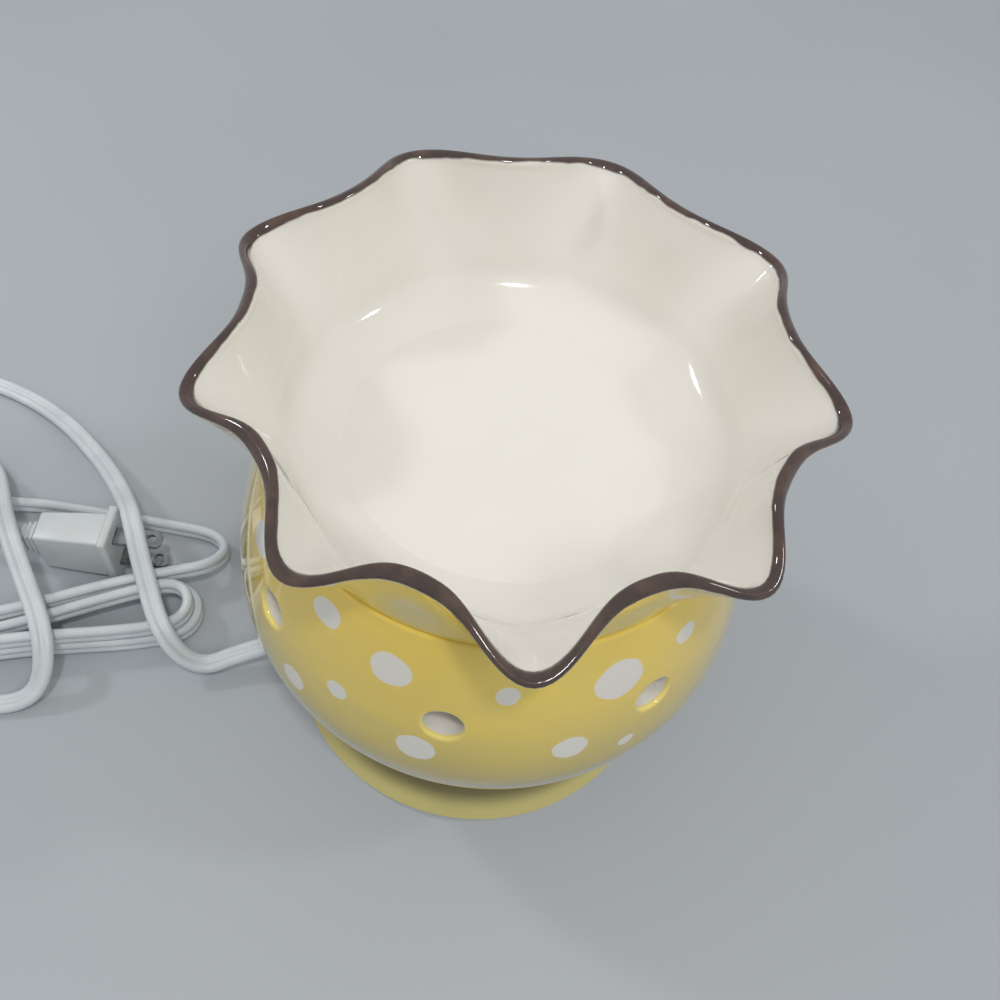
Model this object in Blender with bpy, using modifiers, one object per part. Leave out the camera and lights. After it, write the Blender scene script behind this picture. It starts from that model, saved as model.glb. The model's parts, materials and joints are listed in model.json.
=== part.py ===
"""Electric wax warmer: a glazed pot over a small bulb, with a ruffled dish that lifts off.

Units are metres and +Z is up. The origin is the middle of the foot, at table height.
The side that faces the viewer is -Y, and the lead leaves the foot on the -X side.
"""
import math

import bmesh
import bpy
from mathutils import Vector

MM = 0.001
CLEAR = 0.3 * MM  # gap that touching pieces keep
PAST = 1.0 * MM  # how far a cutter, or a shape that joins another, runs past the face
UP = Vector((0.0, 0.0, 1.0))

# Pot
BULGE_R = 71.8 * MM
BULGE_Z = 71.2 * MM
BULGE_DROP = 69.6 * MM  # height below the widest ring at which the bulge would close
BULGE_RISE = 135.7 * MM  # the same above it
LOWER_POWER = 1.75
UPPER_POWER = 1.5
POT_WALL = 4.5 * MM
POT_TOP = 120.9 * MM
LIP_WIDTH = 3.4 * MM
LIP_ROUND = 1.0 * MM
NECK_Z = 21.0 * MM
FOOT_R = 60.3 * MM
FOOT_POWER = 1.6
FOOT_WALL = 5.0 * MM
SHELF_TOP = 25.0 * MM
SHELF_THICK = 6.0 * MM
POT_STEPS = 48
VENT_R = 5.0 * MM
VENT_EDGE = 1.1 * MM
VENT_Z = 94.0 * MM
VENT_COUNT = 8
VENT_PHASE = math.radians(-94.0)

# Underside
PAD_HEIGHT = 0.8 * MM
PAD_R = 2.1 * MM
PAD_COUNT = 4
COVER_THICK = 2.0 * MM
FOOT_RING = 6.0 * MM  # width of the foot's underside, which stands on the pads
COVER_LEDGE = 2.6 * MM

# Dish
RIM_R = 67.5 * MM
RIM_Z = 151.2 * MM
RIM_ROUND = 1.2 * MM
RUFFLES = 9
RUFFLE_OUT = 5.6 * MM  # how far a lobe reaches past the mean rim
RUFFLE_SHARP = 1.0 * MM  # second harmonic, which makes the lobes pointed
RUFFLE_DROP = 2.4 * MM
RUFFLE_DROP_SHARP = 0.6 * MM
RUFFLE_PHASE = math.radians(-82.2)
RUFFLE_FADE = 2.0
RUFFLE_START = 3.0 * MM  # height above the pot at which the wall begins to wave
DISH_WALL = 3.6 * MM
DISH_FLARE = 2.2 * MM
DISH_FLOOR_R = 41.7 * MM
DISH_FLOOR_TOP = 118.7 * MM
DISH_FLOOR_THICK = 4.2 * MM
DISH_COVE = 7.5 * MM
DISH_RING_DEPTH = 6.5 * MM
DISH_RING_WIDTH = 4.0 * MM
DISH_RING_PLAY = 0.9 * MM
DISH_STEPS = RUFFLES * 8
DISH_INSET = 1.2 * MM  # from the ring to the foot of the wall inside
DISH_RING_EDGE = 0.8 * MM
DISH_RING_RISE = 0.1 * MM  # the least that the floor's underside lies above the ring's

# Threaded tube, nut and washers that hold the socket to the shelf
TUBE_R = 4.75 * MM
TUBE_BORE = 3.2 * MM
TUBE_PAST = 2.0 * MM  # how far it stands past the nut and into the socket
NUT_ACROSS = 15.0 * MM
NUT_HIGH = 4.0 * MM
WASHER_R = 10.0 * MM
WASHER_THICK = 1.2 * MM
GASKET_R = 12.0 * MM
GASKET_THICK = 1.6 * MM

# Socket
SOCKET_R = 13.5 * MM
SOCKET_WALL = 2.2 * MM
SOCKET_CAP_HIGH = 12.0 * MM
SOCKET_CAP_FLOOR = 3.0 * MM
BARREL_HIGH = 25.0 * MM
BARREL_FLOOR = 3.6 * MM
BARREL_EDGE = 1.0 * MM
SHELL_R = 6.25 * MM
SHELL_WALL = 0.6 * MM
SHELL_HIGH = 17.0 * MM
CONTACT_R = 2.6 * MM
CONTACT_TOP_R = 1.6 * MM
CONTACT_HIGH = 1.6 * MM
CONTACT_EDGE = 0.6 * MM
RIVET_R = 1.1 * MM
RIVET_PAST = 2.0 * MM
RIVET_APART = 5.0 * MM
WIRE_R = 1.0 * MM
WIRES_APART = 2.8 * MM
WIRE_STEP = 2.2 * MM

# Bulb
BULB_CAP_R = 5.9 * MM
BULB_CAP_HIGH = 17.0 * MM
BULB_CAP_WALL = 0.4 * MM
BULB_CAP_COLLAR = 1.5 * MM
BULB_CAP_TAPER = 1.4 * MM
BULB_THREADS = 5
THREAD_PITCH = 2.54 * MM
THREAD_DEPTH = 0.45 * MM
TIP_R = 2.2 * MM
TIP_END_R = 1.3 * MM
TIP_HIGH = 1.4 * MM
TIP_EDGE = 0.5 * MM
INSULATOR_END_R = 3.0 * MM
INSULATOR_HIGH = 1.6 * MM
GLASS_R = 15.0 * MM
GLASS_WALL = 0.8 * MM
GLASS_NECK_HIGH = 7.0 * MM
GLASS_SEAT = 3.0 * MM
GLASS_FLARE = 1.0 * MM
GLASS_FLARE_HIGH = 2.0 * MM
STEM_R = 2.2 * MM
STEM_TOP_R = 1.3 * MM
STEM_PAST = 8.0 * MM
FILAMENT_R = 0.35 * MM
FILAMENT_SPAN = 9.0 * MM
FILAMENT_HIGH = 8.5 * MM
FILAMENT_STEP = 1.2 * MM

# Two-wire lead, flat in section
CORD_WIDE = 6.6 * MM
CORD_THICK = 3.3 * MM
CORD_STEP = 8.0 * MM
LEAD_STRAIGHT = 6.0 * MM  # where it meets another piece
CORD_EXIT_Z = 11.0 * MM
CORD_EXIT_ANGLE = math.radians(-167.3)
CORD_SPLIT = 19.0 * MM  # distance from the middle at which its two wires part
BUSHING_R = 5.4 * MM
BUSHING_NOSE_R = 4.5 * MM
BUSHING_INSIDE = 6.0 * MM
BUSHING_OUTSIDE = 11.0 * MM
BUSHING_COLLAR = 2.0 * MM  # of its outside, before it tapers

# Folded part of the lead, its strands standing on edge
HANK_MIDDLE = Vector((-161.6 * MM, -29.3 * MM, 0.0))
HANK_ANGLE = math.radians(202.1)
HANK_HALF_RUN = 60.0 * MM
HANK_FOLD_R = 7.0 * MM
HANK_PITCH = 4.5 * MM
HANK_WAIST = 4.9 * MM  # how far the runs draw in at the middle
HANK_TURNS = 2.5
HANK_POINTS = 24
HANK_LAYER_GAP = 0.5 * MM
TABLE_GAP = 0.2 * MM  # under what lies on the table
TIE_R = 0.6 * MM
TIE_CORNER = 2.0 * MM
TIE_TAIL = 12.0 * MM
TIE_TWISTS = 1.5
TIE_POINTS = 12

# Plug, standing on its narrow side
PLUG_FACE = Vector((-127.5 * MM, 11.0 * MM, 13.0 * MM))
PLUG_ANGLE = math.radians(4.0)
PLUG_LONG = 26.0 * MM
PLUG_TALL = 21.0 * MM
PLUG_WIDE = 13.0 * MM
PLUG_BACK_TALL = 18.0 * MM
PLUG_BACK_WIDE = 11.0 * MM
PLUG_EDGE = 1.6 * MM
FLANGE_THICK = 3.0 * MM
FLANGE_TALL = 25.6 * MM
FLANGE_WIDE = 17.0 * MM
FLANGE_EDGE = 0.8 * MM
RELIEF_LONG = 9.0 * MM
RELIEF_TALL = 11.0 * MM
RELIEF_WIDE = 7.5 * MM
RELIEF_EDGE = 1.0 * MM
RELIEF_WALL = 0.8 * MM  # round the lead at its end
BLADE_OUT = 16.0 * MM
BLADE_IN = 9.0 * MM
BLADE_WIDE = 6.3 * MM
BLADE_TIP = 1.2 * MM
BLADE_THICK = 1.5 * MM
BLADE_APART = 12.7 * MM
BLADE_HOLE_R = 1.6 * MM
BLADE_HOLE_BACK = 3.6 * MM

# Rocker switch on the lead
SWITCH_MIDDLE = Vector((-222.0 * MM, 38.0 * MM, TABLE_GAP))
SWITCH_LONG = 58.0 * MM
SWITCH_WIDE = 25.0 * MM
SWITCH_END_WIDE = 14.0 * MM
SWITCH_TAPER = 10.0 * MM
SWITCH_HALF = 8.6 * MM  # height of each half
SWITCH_WALL = 2.2 * MM
SWITCH_EDGE = 1.0 * MM
SWITCH_CAVITY = 34.0 * MM
ROCKER_LONG = 17.0 * MM
ROCKER_WIDE = 10.0 * MM
ROCKER_PROUD = 0.4 * MM
ROCKER_CREST = 0.6 * MM
ROCKER_PLAY = 1.0 * MM
ROCKER_HEEL = 3.0 * MM  # half the length of the foot below the pin, and its depth
ROCKER_TILT = math.radians(10.0)
PIVOT_DEPTH = 3.5 * MM
PIN_R = 1.0 * MM
STRIP_LONG = 13.0 * MM
STRIP_WIDE = 4.0 * MM
STRIP_THICK = 0.8 * MM
STRIPS_APART = 5.6 * MM
SCREW_R = 1.4 * MM
SCREW_HEAD_R = 2.6 * MM
SCREW_HEAD_HIGH = 1.6 * MM
SCREW_LONG = 12.0 * MM
SCREW_ALONG = 22.5 * MM
SCREW_ACROSS = 6.0 * MM

# Heights that follow from the sizes above, from the table up
POT_BOTTOM = PAD_HEIGHT + CLEAR
SHELF_UNDER = SHELF_TOP - SHELF_THICK
WASHER_TOP = SHELF_UNDER - CLEAR
NUT_TOP = WASHER_TOP - WASHER_THICK - CLEAR
TUBE_LOW = NUT_TOP - NUT_HIGH - TUBE_PAST
GASKET_LOW = SHELF_TOP + CLEAR
SOCKET_LOW = GASKET_LOW + GASKET_THICK + CLEAR
TUBE_TOP = SOCKET_LOW + SOCKET_CAP_FLOOR + TUBE_PAST
SOCKET_SPLIT = SOCKET_LOW + SOCKET_CAP_HIGH
BARREL_LOW = SOCKET_SPLIT + CLEAR
BARREL_TOP = BARREL_LOW + BARREL_HIGH
WELL = BARREL_LOW + BARREL_FLOOR
RIVET_FOOT = BARREL_LOW - RIVET_PAST
CONTACT_LOW = WELL + CLEAR
TIP_LOW = CONTACT_LOW + CONTACT_HIGH + CLEAR
INSULATOR_LOW = TIP_LOW + TIP_HIGH + CLEAR
BULB_CAP_LOW = INSULATOR_LOW + INSULATOR_HIGH + CLEAR
BULB_CAP_TOP = BULB_CAP_LOW + BULB_CAP_HIGH
DISH_SEAT = POT_TOP + CLEAR

# Sizes that one piece takes from another
TUBE_HOLE = TUBE_R + CLEAR
BULB_CAP_BORE = BULB_CAP_R - THREAD_DEPTH - BULB_CAP_WALL
CORD_WAY = Vector((math.cos(CORD_EXIT_ANGLE), math.sin(CORD_EXIT_ANGLE), 0.0))
HANK_WAY = Vector((math.cos(HANK_ANGLE), math.sin(HANK_ANGLE), 0.0))
HANK_SIDE = Vector((-math.sin(HANK_ANGLE), math.cos(HANK_ANGLE), 0.0))
HANK_CLIMB = (HANK_TURNS - 1 - 1 / 6, HANK_TURNS - 1)  # in turns, along one run
SWITCH_PART_Z = SWITCH_HALF + CLEAR / 2
PIVOT_Z = 2 * SWITCH_HALF + CLEAR - PIVOT_DEPTH
ON_EDGE = CORD_WIDE / CORD_THICK
LAID_FLAT = CORD_THICK / CORD_WIDE

PARTS = "wax_warmer"
CUTTERS = "cutters"


# Helpers

def clear_scene():
    for old in list(bpy.data.objects):
        bpy.data.objects.remove(old)
    for name in (PARTS, CUTTERS):
        bpy.context.scene.collection.children.link(bpy.data.collections.new(name))


def finish(name, colour, roughness, metallic=0.0, alpha=1.0):
    made = bpy.data.materials.new(name)
    made.use_nodes = True
    shader = made.node_tree.nodes["Principled BSDF"]
    shader.inputs["Base Color"].default_value = (*colour, 1.0)
    shader.inputs["Roughness"].default_value = roughness
    shader.inputs["Metallic"].default_value = metallic
    shader.inputs["Alpha"].default_value = alpha
    return made


def put(name, data, material=None, collection=PARTS):
    """A new object that holds data. Without a material it is a cutter."""
    made = bpy.data.objects.new(name, data)
    if material is None and collection == PARTS:
        collection = CUTTERS
    bpy.data.collections[collection].objects.link(made)
    if collection == CUTTERS:
        made.hide_render = True
        made.display_type = "WIRE"
    else:
        data.materials.append(material)
    return made


def smooth(obj, angle=35.0):
    obj.data.shade_smooth()
    obj.data.set_sharp_from_angle(angle=math.radians(angle))


def turned(name, profile, material=None, steps=32, ring=False):
    """A profile of (radius, height) points spun about Z, its outer side from top to bottom.

    A ring's profile is closed and stays off the axis. Any other one starts and ends on it.
    """
    mesh = bpy.data.meshes.new(name)
    edges = [(i, i + 1) for i in range(len(profile) - 1)]
    if ring:
        edges.append((len(profile) - 1, 0))
    mesh.from_pydata([(r, 0.0, z) for r, z in profile], edges, [])
    made = put(name, mesh, material)
    spin = made.modifiers.new("spin", "SCREW")
    spin.steps = steps
    spin.render_steps = steps
    spin.use_merge_vertices = True
    spin.merge_threshold = 0.00001
    return made


def cylinder(name, radius, low, high, material=None, steps=32):
    return turned(name, [(0.0, high), (radius, high), (radius, low), (0.0, low)], material, steps)


def washer(name, outer, inner, low, high, material, steps=32):
    profile = [(outer, high), (outer, low), (inner, low), (inner, high)]
    return turned(name, profile, material, steps, ring=True)


def box(name, size, material=None, round_off=0.0):
    """A box round its own origin, with its edges rounded if round_off is given."""
    mesh = bpy.data.meshes.new(name)
    shape = bmesh.new()
    bmesh.ops.create_cube(shape, size=1.0)
    bmesh.ops.scale(shape, vec=size, verts=shape.verts)
    shape.to_mesh(mesh)
    shape.free()
    made = put(name, mesh, material)
    if round_off:
        edges = made.modifiers.new("edges", "BEVEL")
        edges.width = round_off
        edges.segments = 2
    return made


def tapered(name, front, back, length, material=None, round_off=0.0):
    """A block from X = 0 back to -length, whose (wide, tall) section changes along it."""
    made = box(name, (length, 1.0, 1.0), material, round_off)
    for point in made.data.vertices:
        wide, tall = front if point.co.x > 0 else back
        point.co = (point.co.x - length / 2, point.co.y * wide, point.co.z * tall)
    return made


def tube(name, points, radius, material, sides=2, tall=1.0):
    """A tube along points. tall stretches its section upwards, for a flat lead."""
    curve = bpy.data.curves.new(name, "CURVE")
    curve.dimensions = "3D"
    curve.bevel_depth = radius
    curve.bevel_resolution = sides
    curve.use_fill_caps = True
    line = curve.splines.new("POLY")
    line.points.add(len(points) - 1)
    for target, point in zip(line.points, points):
        target.co = (point[0], point[1], point[2] / tall, 1.0)
    made = put(name, curve, material)
    made.scale = (1.0, 1.0, tall)
    return made


def flat_shape(name, outline, thickness, material):
    """A mesh: a flat outline in X and Y, given a thickness round Z = 0."""
    curve = bpy.data.curves.new(name, "CURVE")
    curve.dimensions = "2D"
    curve.fill_mode = "BOTH"
    curve.extrude = thickness / 2
    line = curve.splines.new("POLY")
    line.points.add(len(outline) - 1)
    for target, (x, y) in zip(line.points, outline):
        target.co = (x, y, 0.0, 1.0)
    line.use_cyclic_u = True
    drawn = put(name, curve, material)
    bpy.context.view_layer.update()
    seen = drawn.evaluated_get(bpy.context.evaluated_depsgraph_get())
    mesh = bpy.data.meshes.new_from_object(seen)
    bpy.data.objects.remove(drawn)
    shape = bmesh.new()
    shape.from_mesh(mesh)
    bmesh.ops.remove_doubles(shape, verts=shape.verts, dist=0.00001)
    shape.to_mesh(mesh)
    shape.free()
    made = bpy.data.objects.new(name, mesh)
    bpy.data.collections[PARTS].objects.link(made)
    return made


def cut(obj, cutter, operation="DIFFERENCE"):
    step = obj.modifiers.new(cutter.name, "BOOLEAN")
    step.operation = operation
    step.object = cutter


def hold(name, place, angle, pieces, tilt=0.0):
    """An empty at a place, turned by angle about Z, that carries pieces made round the origin."""
    made = bpy.data.objects.new(name, None)
    bpy.data.collections[PARTS].objects.link(made)
    made.location = place
    made.rotation_euler = (0.0, tilt, angle)
    for piece in pieces:
        piece.parent = made
    return made


def evenly(line, step):
    """The line again, with points about step apart."""
    along = [0.0]
    for a, b in zip(line, line[1:]):
        along.append(along[-1] + (b - a).length)
    count = max(2, round(along[-1] / step))
    points = []
    at = 0
    for i in range(count + 1):
        want = along[-1] * i / count
        while at < len(along) - 2 and along[at + 1] < want:
            at += 1
        share = (want - along[at]) / (along[at + 1] - along[at])
        points.append(line[at].lerp(line[at + 1], min(share, 1.0)))
    return points


def smooth_route(route, step):
    """Points about step apart on a smooth curve through the route, its two end runs straight."""
    knots = [Vector(p) for p in route]
    fine = []
    for before, start, end, after in zip(knots, knots[1:], knots[2:], knots[3:]):
        for i in range(12):
            t = i / 12
            fine.append(0.5 * (2 * start + (end - before) * t
                               + (2 * before - 5 * start + 4 * end - after) * t ** 2
                               + (3 * start - before - 3 * end + after) * t ** 3))
    fine.append(knots[-2])
    return [knots[0]] + evenly(fine, step) + [knots[-1]]


def length_of(line):
    return sum((b - a).length for a, b in zip(line, line[1:]))


def in_mm(points):
    return [Vector(p) * MM for p in points]


# Pot

def bulge(z, inset=0.0):
    """The pot's radius at a height, or its inner wall's when inset is the wall."""
    if z < BULGE_Z:
        share = (BULGE_Z - z) / (BULGE_DROP - inset)
        power = LOWER_POWER
    else:
        share = (z - BULGE_Z) / BULGE_RISE
        power = UPPER_POWER
    return (BULGE_R - inset) * (1 - min(share, 1.0) ** power) ** (1 / power)


def foot(z):
    """The foot's outer radius at a height below the neck."""
    share = (NECK_Z - z) / (NECK_Z - PAD_HEIGHT)
    return bulge(NECK_Z) + (FOOT_R - bulge(NECK_Z)) * share ** FOOT_POWER


def pot_profile():
    """Lip, bulge and foot down the outside, then the cavity, the shelf and the wall up."""
    lip = bulge(POT_TOP)
    points = [(lip - LIP_WIDTH + LIP_ROUND, POT_TOP), (lip - LIP_ROUND, POT_TOP)]
    shoulder = POT_TOP - LIP_ROUND
    for i in range(11):
        z = shoulder + (NECK_Z - shoulder) * i / 10
        points.append((bulge(z), z))
    toe = POT_BOTTOM + LIP_ROUND
    for i in range(1, 5):
        z = NECK_Z + (toe - NECK_Z) * i / 4
        points.append((foot(z), z))
    points.append((foot(POT_BOTTOM) - LIP_ROUND, POT_BOTTOM))
    recess = foot(POT_BOTTOM) - FOOT_RING
    ledge = POT_BOTTOM + COVER_THICK + CLEAR
    points += [(recess, POT_BOTTOM), (recess, ledge), (recess - COVER_LEDGE, ledge)]
    for i in range(1, 3):
        z = ledge + (SHELF_UNDER - ledge) * i / 2
        points.append((foot(z) - FOOT_WALL - COVER_LEDGE * (1 - i / 2), z))
    points += [(TUBE_HOLE, SHELF_UNDER), (TUBE_HOLE, SHELF_TOP)]
    inner_lip = POT_TOP - 2 * LIP_ROUND
    for i in range(7):
        z = SHELF_TOP + (inner_lip - SHELF_TOP) * i / 7
        points.append((bulge(z, POT_WALL), z))
    points.append((lip - LIP_WIDTH, inner_lip))
    return points


def make_pot(glaze):
    pot = turned("pot", pot_profile(), glaze, POT_STEPS, ring=True)
    lean = math.atan2(bulge(VENT_Z - MM) - bulge(VENT_Z + MM), 2 * MM)
    out = bulge(VENT_Z) / math.cos(lean)
    wide = VENT_R + VENT_EDGE + POT_WALL
    profile = [(0.0, out + POT_WALL), (wide, out + POT_WALL), (VENT_R, out - VENT_EDGE),
               (VENT_R, out - 2 * POT_WALL), (0.0, out - 2 * POT_WALL)]
    for i in range(VENT_COUNT):
        vent = turned(f"vent_cutter_{i + 1}", profile, steps=14)
        vent.rotation_euler = (0.0, math.pi / 2 - lean, VENT_PHASE + math.tau * i / VENT_COUNT)
        vent.location.z = VENT_Z - bulge(VENT_Z) * math.tan(lean)
        cut(pot, vent)
    wall = foot(CORD_EXIT_Z)
    hole = cylinder("cord_hole_cutter", BUSHING_R + CLEAR, wall - 3 * FOOT_WALL,
                    wall + 3 * FOOT_WALL, steps=20)
    hole.rotation_euler = (0.0, math.pi / 2, CORD_EXIT_ANGLE)
    hole.location.z = CORD_EXIT_Z
    cut(pot, hole)


def make_underside(felt, board):
    """Four felt pads under the foot ring, and the board that closes the cavity."""
    middle = foot(POT_BOTTOM) - (FOOT_RING + LIP_ROUND) / 2
    for i in range(PAD_COUNT):
        angle = math.tau * (i + 0.5) / PAD_COUNT
        pad = cylinder(f"foot_pad_{i + 1}", PAD_R, 0.0, PAD_HEIGHT, felt, 16)
        pad.location = (middle * math.cos(angle), middle * math.sin(angle), 0.0)
    cylinder("base_cover", foot(POT_BOTTOM) - FOOT_RING - CLEAR, POT_BOTTOM,
             POT_BOTTOM + COVER_THICK, board, 40)


# Dish

def dish_profile():
    """From the middle of the floor up the inside, over the rim, and down to the base."""
    lip = bulge(POT_TOP)
    ring = lip - LIP_WIDTH - DISH_RING_PLAY
    wall_foot = ring - DISH_INSET
    points = [(0.0, DISH_FLOOR_TOP)]
    for i in range(4):
        a = math.pi / 2 * i / 3
        points.append((DISH_FLOOR_R + (wall_foot - DISH_FLOOR_R) * math.sin(a),
                       DISH_FLOOR_TOP + DISH_COVE * (1 - math.cos(a))))
    low = DISH_FLOOR_TOP + DISH_COVE
    high = RIM_Z - RIM_ROUND
    inner_rim = RIM_R - DISH_WALL / 2
    for i in range(1, 6):
        t = i / 5
        r = wall_foot + (inner_rim - wall_foot) * t - DISH_FLARE / 2 * math.sin(math.pi * t)
        points.append((r, low + (high - low) * t))
    points += [(inner_rim + RIM_ROUND, RIM_Z), (RIM_R + DISH_WALL / 2 - RIM_ROUND, RIM_Z)]
    outer_rim = RIM_R + DISH_WALL / 2
    outer_foot = lip - LIP_ROUND / 2
    shoulder = DISH_SEAT + RIM_ROUND
    for i in range(6):
        t = i / 5
        r = outer_rim + (outer_foot - outer_rim) * t - DISH_FLARE * math.sin(math.pi * t)
        points.append((r, high + (shoulder - high) * t))
    base = DISH_SEAT - DISH_RING_DEPTH
    under = max(DISH_FLOOR_TOP - DISH_FLOOR_THICK, base + DISH_RING_RISE)
    inner_ring = ring - DISH_RING_WIDTH
    points += [(outer_foot - RIM_ROUND, DISH_SEAT), (ring, DISH_SEAT),
               (ring, base + DISH_RING_EDGE), (ring - DISH_RING_EDGE, base),
               (inner_ring, base), (inner_ring - DISH_RING_RISE, under), (0.0, under)]
    return points


def ruffled(point):
    """Where a point of the turned dish goes once its wall is waved."""
    start = POT_TOP + RUFFLE_START
    if point.z <= start:
        return point
    fade = ((point.z - start) / (RIM_Z - start)) ** RUFFLE_FADE
    turn = RUFFLES * (math.atan2(point.y, point.x) - RUFFLE_PHASE)
    radius = math.hypot(point.x, point.y)
    out = fade * (RUFFLE_OUT * math.cos(turn) + RUFFLE_SHARP * math.cos(2 * turn))
    drop = fade * (RUFFLE_DROP * math.cos(turn) + RUFFLE_DROP_SHARP * math.cos(2 * turn))
    grow = (radius + out) / radius
    return Vector((point.x * grow, point.y * grow, point.z - drop))


def make_dish(glaze):
    plain = turned("dish", dish_profile(), glaze, DISH_STEPS)
    bpy.context.view_layer.update()
    seen = plain.evaluated_get(bpy.context.evaluated_depsgraph_get())
    mesh = bpy.data.meshes.new_from_object(seen)
    bpy.data.objects.remove(plain)
    for point in mesh.vertices:
        point.co = ruffled(point.co)
    dish = bpy.data.objects.new("dish", mesh)
    bpy.data.collections[PARTS].objects.link(dish)
    smooth(dish)


# Socket

def make_fixing(steel, rubber):
    """The threaded tube through the shelf, with its washer and nut, and the gasket above."""
    washer("shelf_washer", WASHER_R, TUBE_HOLE, WASHER_TOP - WASHER_THICK, WASHER_TOP, steel)
    corner = NUT_ACROSS / math.sqrt(3)
    outline = [(corner * math.cos(math.tau * i / 6), corner * math.sin(math.tau * i / 6))
               for i in range(6)]
    nut = flat_shape("lock_nut", outline, NUT_HIGH, steel)
    nut.location.z = NUT_TOP - NUT_HIGH / 2
    cut(nut, cylinder("nut_cutter", TUBE_HOLE, NUT_TOP - 2 * NUT_HIGH, NUT_TOP + NUT_HIGH))
    washer("threaded_tube", TUBE_R, TUBE_BORE, TUBE_LOW, TUBE_TOP, steel)
    washer("socket_gasket", GASKET_R, TUBE_HOLE, GASKET_LOW, GASKET_LOW + GASKET_THICK, rubber)


def make_socket(porcelain, brass):
    """The cap on the tube, the barrel above it, and the barrel's two contacts."""
    inner = SOCKET_R - SOCKET_WALL
    cap_floor = SOCKET_LOW + SOCKET_CAP_FLOOR
    turned("socket_cap", [(SOCKET_R, SOCKET_SPLIT), (SOCKET_R, SOCKET_LOW),
                          (TUBE_HOLE, SOCKET_LOW), (TUBE_HOLE, cap_floor),
                          (inner, cap_floor), (inner, SOCKET_SPLIT)], porcelain, 36, ring=True)
    bore = SHELL_R + SHELL_WALL + CLEAR
    barrel = turned("socket_barrel", [(0.0, WELL), (bore, WELL), (bore, BARREL_TOP),
                                      (SOCKET_R - BARREL_EDGE, BARREL_TOP),
                                      (SOCKET_R, BARREL_TOP - BARREL_EDGE),
                                      (SOCKET_R, BARREL_LOW), (0.0, BARREL_LOW)], porcelain, 36)
    for number, x in enumerate((0.0, RIVET_APART)):
        hole = cylinder(f"rivet_cutter_{number + 1}", RIVET_R + CLEAR, RIVET_FOOT, WELL + PAST,
                        steps=16)
        hole.location.x = x
        cut(barrel, hole)
    dome = CONTACT_LOW + CONTACT_HIGH
    turned("centre_contact", [(0.0, dome), (CONTACT_TOP_R, dome),
                              (CONTACT_R, CONTACT_LOW + CONTACT_EDGE), (CONTACT_R, CONTACT_LOW),
                              (RIVET_R, CONTACT_LOW), (RIVET_R, RIVET_FOOT),
                              (0.0, RIVET_FOOT)], brass, 20)
    rim = SHELL_R + SHELL_WALL
    hole_r = CONTACT_R + CLEAR
    floor_top = CONTACT_LOW + SHELL_WALL
    top = CONTACT_LOW + SHELL_HIGH
    shell = turned("screw_shell", [(rim, top), (rim, CONTACT_LOW), (hole_r, CONTACT_LOW),
                                   (hole_r, floor_top), (SHELL_R, floor_top), (SHELL_R, top)],
                   brass, 32, ring=True)
    rivet = cylinder("shell_rivet", RIVET_R, RIVET_FOOT, CONTACT_LOW + SHELL_WALL / 2, steps=16)
    rivet.location.x = RIVET_APART
    cut(shell, rivet, "UNION")


# Bulb

def make_bulb(brass, solder, dark_glass, glass, tungsten):
    turned("bulb_tip", [(0.0, TIP_LOW + TIP_HIGH), (TIP_R, TIP_LOW + TIP_HIGH),
                        (TIP_R, TIP_LOW + TIP_EDGE), (TIP_END_R, TIP_LOW), (0.0, TIP_LOW)],
           solder, 20)
    ring_top = INSULATOR_LOW + INSULATOR_HIGH
    base_r = BULB_CAP_R - BULB_CAP_TAPER
    turned("bulb_insulator", [(0.0, ring_top), (base_r, ring_top),
                              (INSULATOR_END_R, INSULATOR_LOW), (0.0, INSULATOR_LOW)],
           dark_glass, 24)
    collar = BULB_CAP_TOP - BULB_CAP_COLLAR
    outer = [(BULB_CAP_R, BULB_CAP_TOP), (BULB_CAP_R, collar)]
    for i in range(BULB_THREADS):
        outer.append((BULB_CAP_R - THREAD_DEPTH, collar - (i + 0.5) * THREAD_PITCH))
        outer.append((BULB_CAP_R, collar - (i + 1) * THREAD_PITCH))
    outer.append((base_r, BULB_CAP_LOW))
    hole = STEM_R + CLEAR
    inner = [(hole, BULB_CAP_LOW), (hole, BULB_CAP_LOW + BULB_CAP_WALL),
             (base_r - BULB_CAP_WALL, BULB_CAP_LOW + BULB_CAP_WALL),
             (BULB_CAP_BORE, collar - BULB_THREADS * THREAD_PITCH), (BULB_CAP_BORE, BULB_CAP_TOP)]
    turned("bulb_cap", outer + inner, brass, 24, ring=True)
    make_bulb_glass(glass)
    stem_low = BULB_CAP_LOW + CLEAR
    stem_top = BULB_CAP_TOP + STEM_PAST
    turned("bulb_stem", [(0.0, stem_top), (STEM_TOP_R, stem_top), (STEM_R, BULB_CAP_TOP),
                         (STEM_R, stem_low), (0.0, stem_low)], glass, 16)
    loop = ((0.0, 0.0), (0.1, 0.12), (0.7, 0.35), (1.0, 0.7), (0.6, 1.0), (0.0, 0.82),
            (-0.6, 1.0), (-1.0, 0.7))  # shares of the half span and of the height
    route = [(x * FILAMENT_SPAN / 2, 0.0, stem_top + CLEAR + z * FILAMENT_HIGH) for x, z in loop]
    tube("bulb_filament", smooth_route(route, FILAMENT_STEP), FILAMENT_R, tungsten, 1)


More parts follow.
